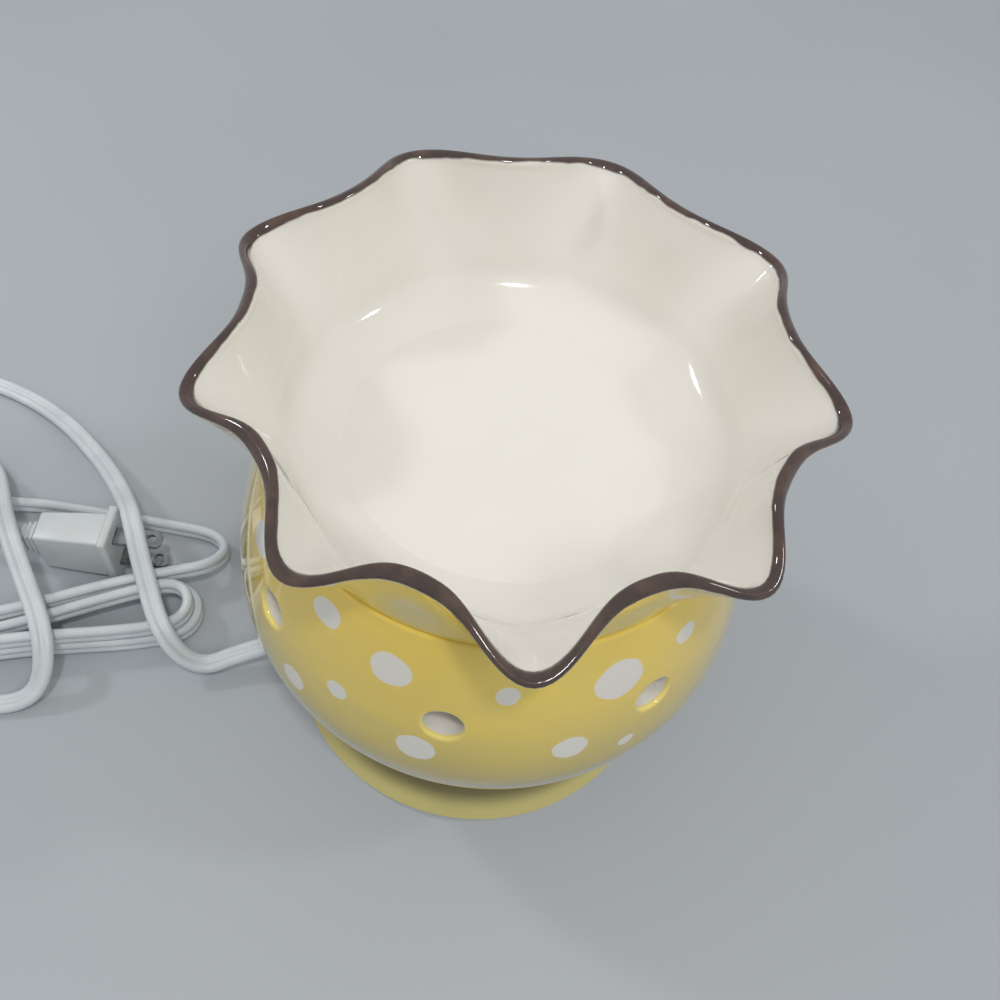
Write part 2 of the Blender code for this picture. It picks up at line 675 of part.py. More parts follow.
def make_bulb_glass(glass):
    """The thin envelope: a neck that widens into a globe, open at the bottom of the neck."""
    neck_r = BULB_CAP_BORE - CLEAR
    neck_low = BULB_CAP_TOP - GLASS_SEAT
    neck_top = neck_low + GLASS_NECK_HIGH
    waist_r = neck_r + GLASS_FLARE
    middle = neck_top + math.sqrt(GLASS_R ** 2 - waist_r ** 2)
    sweep = math.pi - math.asin(waist_r / GLASS_R)
    inside = GLASS_R - GLASS_WALL
    outer = []
    inner = []
    for i in range(9):
        a = sweep * i / 8
        outer.append((GLASS_R * math.sin(a), middle + GLASS_R * math.cos(a)))
        inner.append((inside * math.sin(a), middle + inside * math.cos(a)))
    flare = neck_top - GLASS_FLARE_HIGH
    outer += [(neck_r, flare), (neck_r, neck_low)]
    inner += [(neck_r - GLASS_WALL, flare), (neck_r - GLASS_WALL, neck_low)]
    turned("bulb_glass", outer + inner[::-1], glass, 24)


# Lead inside the foot

def bushing_end():
    return foot(CORD_EXIT_Z) + BUSHING_OUTSIDE


def make_bushing(plastic):
    """The tapered sleeve in the foot's wall, with an oval bore for the flat lead."""
    start = foot(CORD_EXIT_Z) - FOOT_WALL - BUSHING_INSIDE
    collar = foot(CORD_EXIT_Z) + BUSHING_COLLAR
    bushing = turned("cord_bushing", [(0.0, bushing_end()), (BUSHING_NOSE_R, bushing_end()),
                                      (BUSHING_R, collar), (BUSHING_R, start), (0.0, start)],
                     plastic, 24)
    bore = cylinder("bushing_cutter", CORD_WIDE / 2 + CLEAR, start - PAST, bushing_end() + PAST,
                    steps=20)
    bore.scale = ((CORD_THICK / 2 + CLEAR) / (CORD_WIDE / 2 + CLEAR), 1.0, 1.0)
    for piece in (bushing, bore):
        piece.rotation_euler = (0.0, math.pi / 2, CORD_EXIT_ANGLE)
        piece.location.z = CORD_EXIT_Z
    cut(bushing, bore)


def make_inner_lead(plastic):
    """The lead from the bushing into the foot, and its two wires up the threaded tube."""
    level = UP * CORD_EXIT_Z
    run = [CORD_WAY * bushing_end() + level, CORD_WAY * CORD_SPLIT + level]
    tube("cord_inner", evenly(run, CORD_STEP), CORD_WIDE / 2, plastic, 2, LAID_FLAT)
    for name, side, x in (("wire_live", -1, 0.0), ("wire_neutral", 1, RIVET_APART)):
        off = CORD_WAY.cross(UP) * side * WIRES_APART / 2
        target = Vector((x, 0.0, RIVET_FOOT - CLEAR))
        route = [CORD_WAY * (CORD_SPLIT - CLEAR) + level + off,
                 CORD_WAY * (CORD_SPLIT - 5 * MM) + level + off - UP * MM,
                 CORD_WAY * 7 * MM + off + UP * (TUBE_LOW - 3.2 * MM),
                 CORD_WAY * 1.2 * MM + off + UP * (TUBE_LOW - MM),
                 off + UP * (TUBE_LOW + 3 * MM), off + UP * (TUBE_TOP - 2 * MM),
                 Vector((x * 0.7, 0.0, TUBE_TOP + 1.5 * MM)) + off,
                 target - UP * 1.2 * MM, target]
        tube(name, smooth_route(route, WIRE_STEP), WIRE_R, plastic, 1)


# Lead on the table

def waist_share(along):
    """1 at the hank's middle, where its tie is, fading to 0 at the ends of its runs."""
    return (1 + math.cos(math.pi * min(abs(along) / HANK_HALF_RUN, 1.0))) / 2


def loop_at(share, wide):
    """A point along and across one loop, whose two folds take a third of it each."""
    half = share % 0.5
    sign = 1.0 if share % 1.0 < 0.5 else -1.0
    if half < 1 / 3:
        a = math.pi * half * 3
        along = HANK_HALF_RUN + wide * math.sin(a)
        across = wide * math.cos(a)
    else:
        along = HANK_HALF_RUN * (1 - 12 * (half - 1 / 3))
        across = HANK_WAIST * waist_share(along) - wide
    return sign * along, sign * across


def hank_points():
    """The loops in order: in, up one layer along a run where the spiral turns back, and out."""
    start, end = HANK_CLIMB
    low = TABLE_GAP + CORD_WIDE / 2
    layer = CORD_WIDE + HANK_LAYER_GAP
    lift = 2 * TIE_R + CLEAR
    points = []
    for i in range(round(HANK_TURNS * HANK_POINTS) + 1):
        turn = i / HANK_POINTS
        wide = HANK_FOLD_R + HANK_PITCH * max(start - turn, 0.0, turn - end)
        climbed = min(max((turn - start) / (end - start), 0.0), 1.0)
        along, across = loop_at(turn, wide)
        points.append(HANK_MIDDLE + HANK_WAY * along + HANK_SIDE * across
                      + UP * (low + layer * climbed + lift * waist_share(along)))
    points.insert(0, points[0] - HANK_WAY * CORD_WIDE)
    points.append(points[-1] - HANK_WAY * CORD_WIDE)
    return points


def least_self_gap(points, thick, tall):
    """The least gap between strands that are thick across and tall upwards."""
    fine = evenly(points, thick / 2)
    apart = round(3 * tall / (thick / 2))
    least = tall
    for i, a in enumerate(fine):
        for b in fine[i + apart:]:
            flat = math.hypot(a.x - b.x, a.y - b.y)
            if abs(a.z - b.z) < tall:
                least = min(least, flat - thick)
            elif flat < thick:
                least = min(least, abs(a.z - b.z) - tall)
    return least


def make_hank(plastic, tie_skin):
    points = hank_points()
    tube("cord_hank", points, CORD_THICK / 2, plastic, 1, ON_EDGE)
    print("hank length", round(length_of(points), 4), "least gap to itself",
          round(least_self_gap(points, CORD_THICK, CORD_WIDE), 5))
    make_tie(points, tie_skin)
    return points


def make_tie(points, skin):
    """A wire tie round the hank's waist, with its two ends twisted together on top."""
    near_waist = [p - HANK_MIDDLE for p in points
                  if abs((p - HANK_MIDDLE).dot(HANK_WAY)) < HANK_HALF_RUN / 4]
    reach = TIE_R + CLEAR + CORD_THICK / 2
    left = min(p.dot(HANK_SIDE) for p in near_waist) - reach
    right = max(p.dot(HANK_SIDE) for p in near_waist) + reach
    top = max(p.z for p in near_waist) + CORD_WIDE / 2 + CLEAR + TIE_R
    low = TIE_R + TABLE_GAP
    middle = (left + right) / 2
    twist_r = TIE_R + CLEAR
    base = top + TIE_CORNER
    inset = TIE_CORNER * (1 - math.sqrt(0.5))
    twist = []
    for i in range(TIE_POINTS + 1):
        a = math.tau * TIE_TWISTS * i / TIE_POINTS
        twist.append((twist_r * math.sin(a), twist_r * math.cos(a), TIE_TAIL * i / TIE_POINTS))
    path = [(x, middle - y, base + z) for x, y, z in reversed(twist)]
    path += [(0.0, left + TIE_CORNER, top), (0.0, left + inset, top - inset),
             (0.0, left, top - TIE_CORNER), (0.0, left, low + TIE_CORNER),
             (0.0, left + inset, low + inset), (0.0, left + TIE_CORNER, low),
             (0.0, right - TIE_CORNER, low), (0.0, right - inset, low + inset),
             (0.0, right, low + TIE_CORNER), (0.0, right, top - TIE_CORNER),
             (0.0, right - inset, top - inset), (0.0, right - TIE_CORNER, top)]
    path += [(-x, middle + y, base + z) for x, y, z in twist]
    placed = [HANK_MIDDLE + HANK_WAY * x + HANK_SIDE * y + UP * z for x, y, z in path]
    tube("twist_tie", placed, TIE_R, skin, 1)


def make_lead(plastic, hank):
    """The lead's free stretches: foot to switch, switch to hank, and hank to plug."""
    half_long = SWITCH_LONG / 2 + CLEAR
    into_switch = [SWITCH_MIDDLE + Vector((-half_long - run, 0.0, SWITCH_PART_Z))
                   for run in (LEAD_STRAIGHT, 0.0)]
    from_switch = [SWITCH_MIDDLE + Vector((half_long + run, 0.0, SWITCH_PART_Z))
                   for run in (0.0, LEAD_STRAIGHT)]
    into_hank = [hank[0] - HANK_WAY * (CLEAR + run) for run in (LEAD_STRAIGHT, 0.0)]
    from_hank = [hank[-1] - HANK_WAY * (CLEAR + run) for run in (0.0, LEAD_STRAIGHT)]
    plug_back = PLUG_LONG + RELIEF_LONG + CLEAR
    into_plug = [PLUG_FACE - plug_way() * (plug_back + run) for run in (LEAD_STRAIGHT, 0.0)]
    from_foot = [CORD_WAY * (bushing_end() + CLEAR + run) + UP * CORD_EXIT_Z
                 for run in (0.0, LEAD_STRAIGHT)]
    to_switch = from_foot + in_mm([
        (-80, -20.6, 7.4), (-86.5, -24.0, 5.9),
        (-92.5, -24.8, 8.4), (-98, -22.8, 13.2), (-102.5, -18.6, 17.6), (-106.3, -13.2, 19.0),
        (-109.6, -7.6, 19.8), (-112.8, -2, 21.4), (-116.2, 4.2, 23.4), (-120.2, 11.8, 24.4),
        (-125.6, 21, 23.0), (-133.6, 31.4, 19.0), (-144, 43, 13.6), (-156, 54.6, 8.4),
        (-170, 66, 4.4), (-186, 75, 2.3), (-203, 80.4, 1.8), (-221, 82.4, 1.8),
        (-239, 80.2, 1.8), (-255, 73.0, 2.0), (-266, 61.5, 3.0), (-267.6, 48.6, 5.2)]) + into_switch
    to_hank = from_switch + in_mm([
        (-180, 32.4, 12.0), (-173, 22.6, 17.0), (-165.6, 11.4, 21.2),
        (-158.4, 1, 21.8), (-151.4, -8.6, 20.8), (-144.6, -17.6, 19.6), (-139.2, -25.6, 18.8),
        (-136.2, -32.2, 16.2), (-136, -38, 10.6), (-138.4, -42.4, 5.2), (-143.4, -45.6, 2.6),
        (-151, -47.6, 1.9), (-162, -49.8, 1.9), (-175, -52.8, 2.2), (-187, -55.6, 3.0)]) + into_hank
    to_plug = from_hank + in_mm([
        (-94.6, 13.4, 8.6), (-93.6, 19, 5.8), (-96.4, 24.2, 4.0),
        (-103, 26.8, 3.6), (-115, 27.4, 3.5), (-131, 27.8, 3.5), (-148, 28.0, 3.5),
        (-165, 27.6, 3.6), (-179.4, 24.6, 4.6), (-187.4, 18, 7.2), (-184.6, 9.6, 11.4)]) + into_plug
    total = length_of(hank)
    for name, route, sides, thick, tall in (
            ("cord_to_switch", to_switch, 2, CORD_WIDE, LAID_FLAT),
            ("cord_to_hank", to_hank, 2, CORD_WIDE, LAID_FLAT),
            ("cord_to_plug", to_plug, 2, CORD_THICK, ON_EDGE)):
        points = smooth_route(route, CORD_STEP)
        tube(name, points, thick / 2, plastic, sides, tall)
        total += length_of(points)
        print(name, "length", round(length_of(points), 4))
    print("lead outside the foot", round(total, 3))


# Plug

def plug_way():
    return Vector((math.cos(PLUG_ANGLE), math.sin(PLUG_ANGLE), 0.0))


def make_plug(plastic, steel):
    flange = (FLANGE_WIDE, FLANGE_TALL)
    body = tapered("plug_body", flange, flange, FLANGE_THICK, plastic, FLANGE_EDGE)
    grip = tapered("plug_grip", (PLUG_WIDE, PLUG_TALL), (PLUG_BACK_WIDE, PLUG_BACK_TALL),
                   PLUG_LONG - FLANGE_THICK + PAST, None, PLUG_EDGE)
    grip.location.x = PAST - FLANGE_THICK
    relief_end = (CORD_THICK + 2 * RELIEF_WALL, CORD_WIDE + 2 * RELIEF_WALL)
    relief = tapered("plug_relief", (RELIEF_WIDE, RELIEF_TALL), relief_end,
                     RELIEF_LONG + PAST, None, RELIEF_EDGE)
    relief.location.x = PAST - PLUG_LONG
    cut(body, grip, "UNION")
    cut(body, relief, "UNION")
    carried = [body, grip, relief]
    half = BLADE_WIDE / 2
    outline = [(-BLADE_IN, -half), (BLADE_OUT - BLADE_TIP, -half), (BLADE_OUT, BLADE_TIP - half),
               (BLADE_OUT, half - BLADE_TIP), (BLADE_OUT - BLADE_TIP, half), (-BLADE_IN, half)]
    for number, side in enumerate((1, -1)):
        z = side * BLADE_APART / 2
        blade = flat_shape(f"plug_blade_{number + 1}", outline, BLADE_THICK, steel)
        blade.location.z = z
        hole = cylinder(f"blade_hole_cutter_{number + 1}", BLADE_HOLE_R, z - 2 * BLADE_THICK,
                        z + 2 * BLADE_THICK, steps=16)
        hole.location.x = BLADE_OUT - BLADE_HOLE_BACK
        cut(blade, hole)
        slot = box(f"blade_slot_cutter_{number + 1}",
                   (2 * BLADE_IN + 2 * CLEAR, BLADE_WIDE + 2 * CLEAR, BLADE_THICK + 2 * CLEAR))
        slot.location.z = z
        cut(body, slot)
        carried += [blade, hole, slot]
    hold("plug", PLUG_FACE, PLUG_ANGLE, carried)


# Switch

def switch_outline():
    x = SWITCH_LONG / 2
    y = SWITCH_WIDE / 2
    end = SWITCH_END_WIDE / 2
    corner = x - SWITCH_TAPER
    return [(-x, -end), (-corner, -y), (corner, -y), (x, -end),
            (x, end), (corner, y), (-corner, y), (-x, end)]


def make_switch_case(plastic, steel):
    """Two hollow halves held by two screws, the upper one with the rocker's window."""
    carried = []
    halves = []
    upper_low = SWITCH_HALF + CLEAR
    deep = SWITCH_HALF - SWITCH_WALL
    cavity = (SWITCH_CAVITY, SWITCH_WIDE - 2 * SWITCH_WALL, 2 * deep)
    for name, middle, parting in (("switch_base", SWITCH_HALF / 2, SWITCH_HALF),
                                  ("switch_cover", upper_low + SWITCH_HALF / 2, upper_low)):
        half = flat_shape(name, switch_outline(), SWITCH_HALF, plastic)
        half.location.z = middle
        edges = half.modifiers.new("edges", "BEVEL")
        edges.width = SWITCH_EDGE
        edges.segments = 2
        room = box(f"{name}_cavity_cutter", cavity)
        room.location.z = parting
        cut(half, room)
        carried += [half, room]
        halves.append(half)
    base, cover = halves
    head_top = CLEAR + SCREW_HEAD_HIGH
    screw_top = head_top + SCREW_LONG
    for number, side in enumerate((1, -1)):
        hole = cylinder(f"screw_cutter_{number + 1}", SCREW_R + CLEAR, -PAST,
                        screw_top + CLEAR, steps=16)
        sink = cylinder(f"screw_head_cutter_{number + 1}", SCREW_HEAD_R + CLEAR, -PAST,
                        head_top + CLEAR, steps=20)
        screw = turned(f"switch_screw_{number + 1}",
                       [(0.0, screw_top), (SCREW_R, screw_top), (SCREW_R, head_top),
                        (SCREW_HEAD_R, head_top), (SCREW_HEAD_R, CLEAR), (0.0, CLEAR)], steel, 16)
        for piece in (hole, sink, screw):
            piece.location = (side * SCREW_ALONG, -side * SCREW_ACROSS, 0.0)
            carried.append(piece)
        cut(base, hole)
        cut(base, sink)
        cut(cover, hole)
    window = box("switch_window_cutter", (ROCKER_LONG + 2 * ROCKER_PLAY,
                                          ROCKER_WIDE + ROCKER_PLAY, 2 * SWITCH_HALF))
    window.location.z = upper_low + SWITCH_HALF
    cut(cover, window)
    carried.append(window)
    return carried


def make_switch_works(plastic, steel, brass):
    """The rocker, tilted to off, the pin it turns on, and the two contact strips."""
    half = ROCKER_LONG / 2
    top = PIVOT_DEPTH + ROCKER_PROUD
    outline = [(-half, 0.0), (-ROCKER_HEEL, -ROCKER_HEEL), (ROCKER_HEEL, -ROCKER_HEEL),
               (half, 0.0), (half, top), (0.0, top + ROCKER_CREST), (-half, top)]
    rocker = flat_shape("switch_rocker", outline, ROCKER_WIDE, plastic)
    bore = cylinder("rocker_bore_cutter", PIN_R + CLEAR, -ROCKER_WIDE, ROCKER_WIDE, steps=16)
    cut(rocker, bore)
    pin_half = SWITCH_WIDE / 2 - SWITCH_WALL - CLEAR
    pin = cylinder("switch_pin", PIN_R, -pin_half, pin_half, steel, 16)
    for piece in (rocker, bore):
        piece.rotation_euler = (math.pi / 2, ROCKER_TILT, 0.0)
        piece.location.z = PIVOT_Z
    pin.rotation_euler.x = math.pi / 2
    pin.location.z = PIVOT_Z
    carried = [rocker, bore, pin]
    floor = SWITCH_WALL + CLEAR
    heel_low = ROCKER_HEEL * (math.sin(ROCKER_TILT) + math.cos(ROCKER_TILT))
    post_high = PIVOT_Z - heel_low - CLEAR - floor
    for number, side in enumerate((1, -1)):
        strip = box(f"switch_contact_{number + 1}", (STRIP_LONG, STRIP_WIDE, STRIP_THICK), brass)
        strip.location = (side * (STRIPS_APART + STRIP_LONG) / 2, 0.0, floor + STRIP_THICK / 2)
        post = box(f"contact_post_{number + 1}", (STRIP_THICK, STRIP_WIDE, post_high))
        post.location = (side * (STRIPS_APART + STRIP_THICK) / 2, 0.0, floor + post_high / 2)
        cut(strip, post, "UNION")
        carried += [strip, post]
    return carried


def main():
    clear_scene()
    yellow = finish("yellow_glaze", (0.84, 0.68, 0.21), 0.12)
    cream = finish("cream_glaze", (0.78, 0.74, 0.65), 0.10)
    white = finish("white_plastic", (0.62, 0.66, 0.67), 0.40)
    steel = finish("plated_steel", (0.55, 0.56, 0.57), 0.35, 1.0)
    brass = finish("brass", (0.72, 0.52, 0.22), 0.35, 1.0)
    solder = finish("solder", (0.60, 0.60, 0.60), 0.45, 1.0)
    porcelain = finish("porcelain", (0.85, 0.84, 0.80), 0.30)
    rubber = finish("black_rubber", (0.03, 0.03, 0.03), 0.70)
    felt = finish("grey_felt", (0.25, 0.25, 0.24), 0.95)
    board = finish("fibre_board", (0.10, 0.08, 0.06), 0.85)
    dark_glass = finish("dark_glass", (0.02, 0.02, 0.02), 0.15)
    glass = finish("clear_glass", (0.95, 0.95, 0.95), 0.05, 0.0, 0.35)
    tungsten = finish("tungsten", (0.25, 0.25, 0.26), 0.45, 1.0)
    make_pot(yellow)
    make_underside(felt, board)
    make_dish(cream)
    make_fixing(steel, rubber)
    make_socket(porcelain, brass)
    make_bulb(brass, solder, dark_glass, glass, tungsten)
    make_bushing(white)
    make_inner_lead(white)
    hank = make_hank(white, white)
    make_lead(white, hank)
    make_plug(white, steel)
    works = make_switch_case(white, steel) + make_switch_works(white, steel, brass)
    hold("switch", SWITCH_MIDDLE, 0.0, works)
    for obj in bpy.data.collections[PARTS].objects:
        if obj.type == "MESH" and obj.name != "dish":
            smooth(obj)


main()
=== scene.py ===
# %% [markdown]
# # A wax warmer in glazed ceramic
# A wax warmer is a glazed pot with a small bulb in it. A loose dish stands on the pot's lip,
# and scented wax melts in it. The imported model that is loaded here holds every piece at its
# real size, so this script only gives the pieces their looks. Everything is in metres, the
# pot stands on the floor at the origin, and -Y is the side that faces the viewer.

# %% Load the frame
import json
import math

import bmesh
import bpy
from mathutils import Matrix, Vector


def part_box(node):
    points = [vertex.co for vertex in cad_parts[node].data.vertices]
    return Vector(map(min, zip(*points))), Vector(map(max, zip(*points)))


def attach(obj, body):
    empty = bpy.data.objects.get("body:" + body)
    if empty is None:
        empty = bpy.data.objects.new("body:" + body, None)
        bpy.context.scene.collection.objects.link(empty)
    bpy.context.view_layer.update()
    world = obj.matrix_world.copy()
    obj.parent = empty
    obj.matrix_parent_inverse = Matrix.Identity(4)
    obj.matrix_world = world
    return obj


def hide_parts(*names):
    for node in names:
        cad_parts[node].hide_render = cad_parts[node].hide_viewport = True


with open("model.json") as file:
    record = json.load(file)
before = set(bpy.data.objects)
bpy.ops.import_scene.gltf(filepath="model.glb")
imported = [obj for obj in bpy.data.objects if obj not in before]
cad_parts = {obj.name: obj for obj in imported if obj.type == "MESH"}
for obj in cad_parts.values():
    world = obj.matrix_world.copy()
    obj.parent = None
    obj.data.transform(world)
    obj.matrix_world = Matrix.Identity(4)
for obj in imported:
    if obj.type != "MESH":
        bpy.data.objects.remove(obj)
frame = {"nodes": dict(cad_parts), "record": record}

MM = 0.001
UP = Vector((0.0, 0.0, 1.0))
nodes = frame["nodes"]
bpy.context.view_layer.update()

# %% [markdown]
# ## Camera
# The photograph looks down into the dish from about 32 cm up, with the camera turned a
# little clockwise. The lens and the place were worked out from three things whose true shape
# is known: the round floor of the dish, the round foot, and the pot's outline. Writing the
# pose as a turn, a tilt and a roll keeps each number readable.

# %% Camera
LENS = 36.0
CAMERA_PLACE = (0.0, -0.15833, 0.317885)
CAMERA_TURN = math.radians(-0.1203)
CAMERA_TILT = math.radians(35.0237)
CAMERA_ROLL = math.radians(9.0643)

camera_data = bpy.data.cameras.new("camera")
camera_data.lens = LENS
camera_data.sensor_width = LENS
camera_data.clip_start = 0.01
camera = bpy.data.objects.new("camera", camera_data)
bpy.context.scene.collection.objects.link(camera)
camera.matrix_world = (Matrix.Translation(CAMERA_PLACE)
                       @ Matrix.Rotation(CAMERA_TURN, 4, "Z")
                       @ Matrix.Rotation(CAMERA_TILT, 4, "X")
                       @ Matrix.Rotation(CAMERA_ROLL, 4, "Z"))
bpy.context.scene.camera = camera
bpy.context.scene.view_settings.view_transform = "Standard"

# %% [markdown]
# ## Node helpers
# Every finish here is a small tree of shader nodes. A few helpers keep the trees short to
# write. One starts a material, and one adds a node with its settings and its inputs, where an
# input is either a plain value or the socket that feeds it. The others are the nodes that
# come up again and again: a place, noise, a sum, a range, a mixed colour and a bump.

# %% Node helpers
def srgb(red, green, blue):
    """A colour picked on screen, from 0 to 255, as the linear colour that shaders take."""
    linear = []
    for value in (red, green, blue):
        share = value / 255
        linear.append(share / 12.92 if share <= 0.04045 else ((share + 0.055) / 1.055) ** 2.4)
    return (*linear, 1.0)


def new_finish(name, **settings):
    """A material, its node tree and its shader, whose sockets are set by name."""
    made = bpy.data.materials.new(name)
    made.use_nodes = True
    shader = made.node_tree.nodes["Principled BSDF"]
    for socket, value in settings.items():
        shader.inputs[socket.replace("_", " ").title()].default_value = value
    return made, made.node_tree, shader


def add(tree, kind, inputs=None, **settings):
    """A node with its settings, and with its inputs set or linked."""
    node = tree.nodes.new(kind)
    for name, value in settings.items():
        setattr(node, name, value)
    for socket, value in (inputs or {}).items():
        if isinstance(value, bpy.types.NodeSocket):
            tree.links.new(value, node.inputs[socket])
        else:
            node.inputs[socket].default_value = value
    return node


def place_in(tree, space="Object"):
    """Where a point lies, in one kind of coordinates."""
    return add(tree, "ShaderNodeTexCoord").outputs[space]


def height_in(tree, space="Object"):
    """How high a point lies, in one kind of coordinates."""
    return add(tree, "ShaderNodeSeparateXYZ", {0: place_in(tree, space)}).outputs["Z"]


def noise(tree, scale, detail=2.0, stretch=(1.0, 1.0, 1.0), roughness=0.5):
    """Noise on Object coordinates, scale in waves per metre. It returns its value socket."""
    wide = add(tree, "ShaderNodeMapping", {"Vector": place_in(tree), "Scale": stretch})
    cloud = add(tree, "ShaderNodeTexNoise", {"Vector": wide.outputs["Vector"], "Scale": scale,
                                             "Detail": detail, "Roughness": roughness})
    return cloud.outputs["Fac"]


def worked(tree, operation, first, second):
    """The result of one operation on two numbers."""
    return add(tree, "ShaderNodeMath", {0: first, 1: second}, operation=operation).outputs[0]


def mapped(tree, value, low, high, to_low=0.0, to_high=1.0, smooth=False):
    """A value carried over from one range to another, in a straight line or eased."""
    kind = "SMOOTHSTEP" if smooth else "LINEAR"
    node = add(tree, "ShaderNodeMapRange", {"Value": value, "From Min": low, "From Max": high,
                                            "To Min": to_low, "To Max": to_high},
               interpolation_type=kind)
    return node.outputs["Result"]


def mixed(tree, share, first, second):
    """A colour between two others."""
    node = add(tree, "ShaderNodeMix", {0: share, 6: first, 7: second}, data_type="RGBA")
    return node.outputs[2]


def bump(tree, shader, height, distance, strength=1.0):
    """Small dents and rises that follow a height, without moving the mesh."""
    node = add(tree, "ShaderNodeBump", {"Height": height, "Distance": distance,
                                        "Strength": strength})
    tree.links.new(node.outputs["Normal"], shader.inputs["Normal"])


# %% [markdown]
# ## Stage and light
# The floor is plain and pale, like the cloth that the warmer stands on. The main lamp hangs
# high in front, so the ruffle's shadow falls just under it on the pot and the light reaches
# into the vent holes. A soft lamp behind the viewer lifts the pot's front, and the glaze
# doesn't mirror it, because its disc would look like one more dot on the foot. Two small
# lamps at the sides put lights into the ruffles, and a sky that is pale above fills the dish.
# What the camera and the glaze see of that sky is pale all over, and the floor fades into it.

# %% Stage and light
FLOOR_SIZE = 30.0
FLOOR_FADES = (0.7, 2.4)  # how far out the floor begins and ends to fade into the backdrop
BACKDROP = (0.86, 0.90, 0.94, 1.0)
SKY_STRENGTH = 0.60


def seen_rays(tree):
    """1 for rays that show something to the camera or in a gloss, 0 for those that light."""
    rays = add(tree, "ShaderNodeLightPath").outputs
    seen = rays["Is Camera Ray"]
    for kind in ("Is Glossy Ray", "Is Transmission Ray"):
        seen = worked(tree, "MAXIMUM", seen, rays[kind])
    return seen


bpy.ops.object.select_all(action="DESELECT")
bpy.ops.mesh.primitive_plane_add(size=FLOOR_SIZE, location=(0.0, 0.0, 0.0))
floor = bpy.context.object
floor.name = "floor"
floor_finish, tree, shader = new_finish("floor_cloth", roughness=0.9)
shader.inputs["Specular IOR Level"].default_value = 0.1
cloudy = mapped(tree, noise(tree, 3.0), 0.3, 0.7)
floor_tint = mixed(tree, cloudy, srgb(178, 183, 188), srgb(186, 190, 194))
tree.links.new(floor_tint, shader.inputs["Base Color"])
far = add(tree, "ShaderNodeVectorMath", {0: place_in(tree)}, operation="LENGTH").outputs["Value"]
faded = worked(tree, "MULTIPLY", mapped(tree, far, *FLOOR_FADES, smooth=True), seen_rays(tree))
glow = add(tree, "ShaderNodeEmission", {"Color": BACKDROP, "Strength": SKY_STRENGTH})
both = add(tree, "ShaderNodeMixShader", {0: faded, 1: shader.outputs[0], 2: glow.outputs[0]})
tree.links.new(both.outputs[0], tree.nodes["Material Output"].inputs["Surface"])
floor.data.materials.append(floor_finish)


def lamp(name, place, size, power, aim=0.08, mirrored=True):
    """A round lamp that points at a height over the origin."""
    data = bpy.data.lights.new(name, "AREA")
    data.shape = "DISK"
    data.size = size
    data.energy = power
    made = bpy.data.objects.new(name, data)
    made.visible_glossy = mirrored
    bpy.context.scene.collection.objects.link(made)
    made.location = place
    made.rotation_euler = (UP * aim - Vector(place)).to_track_quat("-Z", "Y").to_euler()


lamp("lamp_above", (0.16, -0.60, 1.87), 0.18, 8.1)
lamp("lamp_front", (0.60, -1.00, 1.45), 0.50, 4.2, mirrored=False)
lamp("lamp_right", (1.10, 0.10, 1.30), 0.16, 2.2)
lamp("lamp_left", (-1.05, 0.30, 1.00), 0.16, 2.7, aim=0.10)

world = bpy.data.worlds.new("studio")
world.use_nodes = True
bpy.context.scene.world = world
tree = world.node_tree
upwards = mapped(tree, height_in(tree, "Generated"), 0.05, 0.5, smooth=True)
dome = mixed(tree, upwards, srgb(104, 107, 110), srgb(228, 231, 234))
sky = tree.nodes["Background"]
tree.links.new(mixed(tree, seen_rays(tree), dome, BACKDROP), sky.inputs["Color"])
sky.inputs["Strength"].default_value = SKY_STRENGTH

# %% [markdown]
# ## The lead's route
# The lead leaves the foot through a sleeve, hangs over its own folded hank and the plug's
# blades, and goes to a switch out of view, which it crosses beside the rocker. It comes back
# over the plug to the hank, which keeps the length that isn't used, and ends in the plug. The
# free stretches follow a few chosen points, joined by one smooth curve. The hank is worked
# out: its loops spiral in and, one layer up, out again.

# %% Sizes of the lead
CLEAR = 0.3 * MM
LEAD_WIDE = 6.6 * MM
LEAD_THICK = 3.3 * MM
TABLE_GAP = 0.2 * MM
STRAIGHT = 6.0 * MM
EXIT_Z = 11.0 * MM
EXIT_ANGLE = math.radians(-167.3)
EXIT_WAY = Vector((math.cos(EXIT_ANGLE), math.sin(EXIT_ANGLE), 0.0))
SWITCH_MIDDLE = Vector((-222.0 * MM, 38.0 * MM, TABLE_GAP))
SWITCH_HALF_LONG = 29.3 * MM
SWITCH_PART_Z = 8.75 * MM
HANK_MIDDLE = Vector((-161.6 * MM, -29.3 * MM, 0.0))
HANK_ANGLE = math.radians(202.1)
HANK_WAY = Vector((math.cos(HANK_ANGLE), math.sin(HANK_ANGLE), 0.0))
HANK_SIDE = Vector((-math.sin(HANK_ANGLE), math.cos(HANK_ANGLE), 0.0))
HANK_HALF_RUN = 60.0 * MM
HANK_FOLD_R = 7.0 * MM
HANK_PITCH = 4.5 * MM  # from one loop to the next
HANK_WAIST = 4.9 * MM  # how far the tie draws the runs in
HANK_TURNS = 2.5
HANK_POINTS = 24  # on each turn
HANK_LAYER = 7.1 * MM
HANK_LIFT = 1.5 * MM  # how far the tie's wire holds the middle up
HANK_CLIMB = (HANK_TURNS - 1 - 1 / 6, HANK_TURNS - 1)  # the turns between which it climbs
CURVE_STEPS = 12  # between two points of a route, before they are spaced evenly
PLUG_FACE = Vector((-127.5 * MM, 11.0 * MM, 13.0 * MM))
PLUG_ANGLE = math.radians(4.0)
PLUG_WAY = Vector((math.cos(PLUG_ANGLE), math.sin(PLUG_ANGLE), 0.0))
PLUG_BACK = 35.3 * MM
SLEEVE_NOSE_R = 4.5 * MM
sleeve_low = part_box("cord_bushing")[0]
SLEEVE_END = (-sleeve_low.x - SLEEVE_NOSE_R * abs(EXIT_WAY.y)) / abs(EXIT_WAY.x)


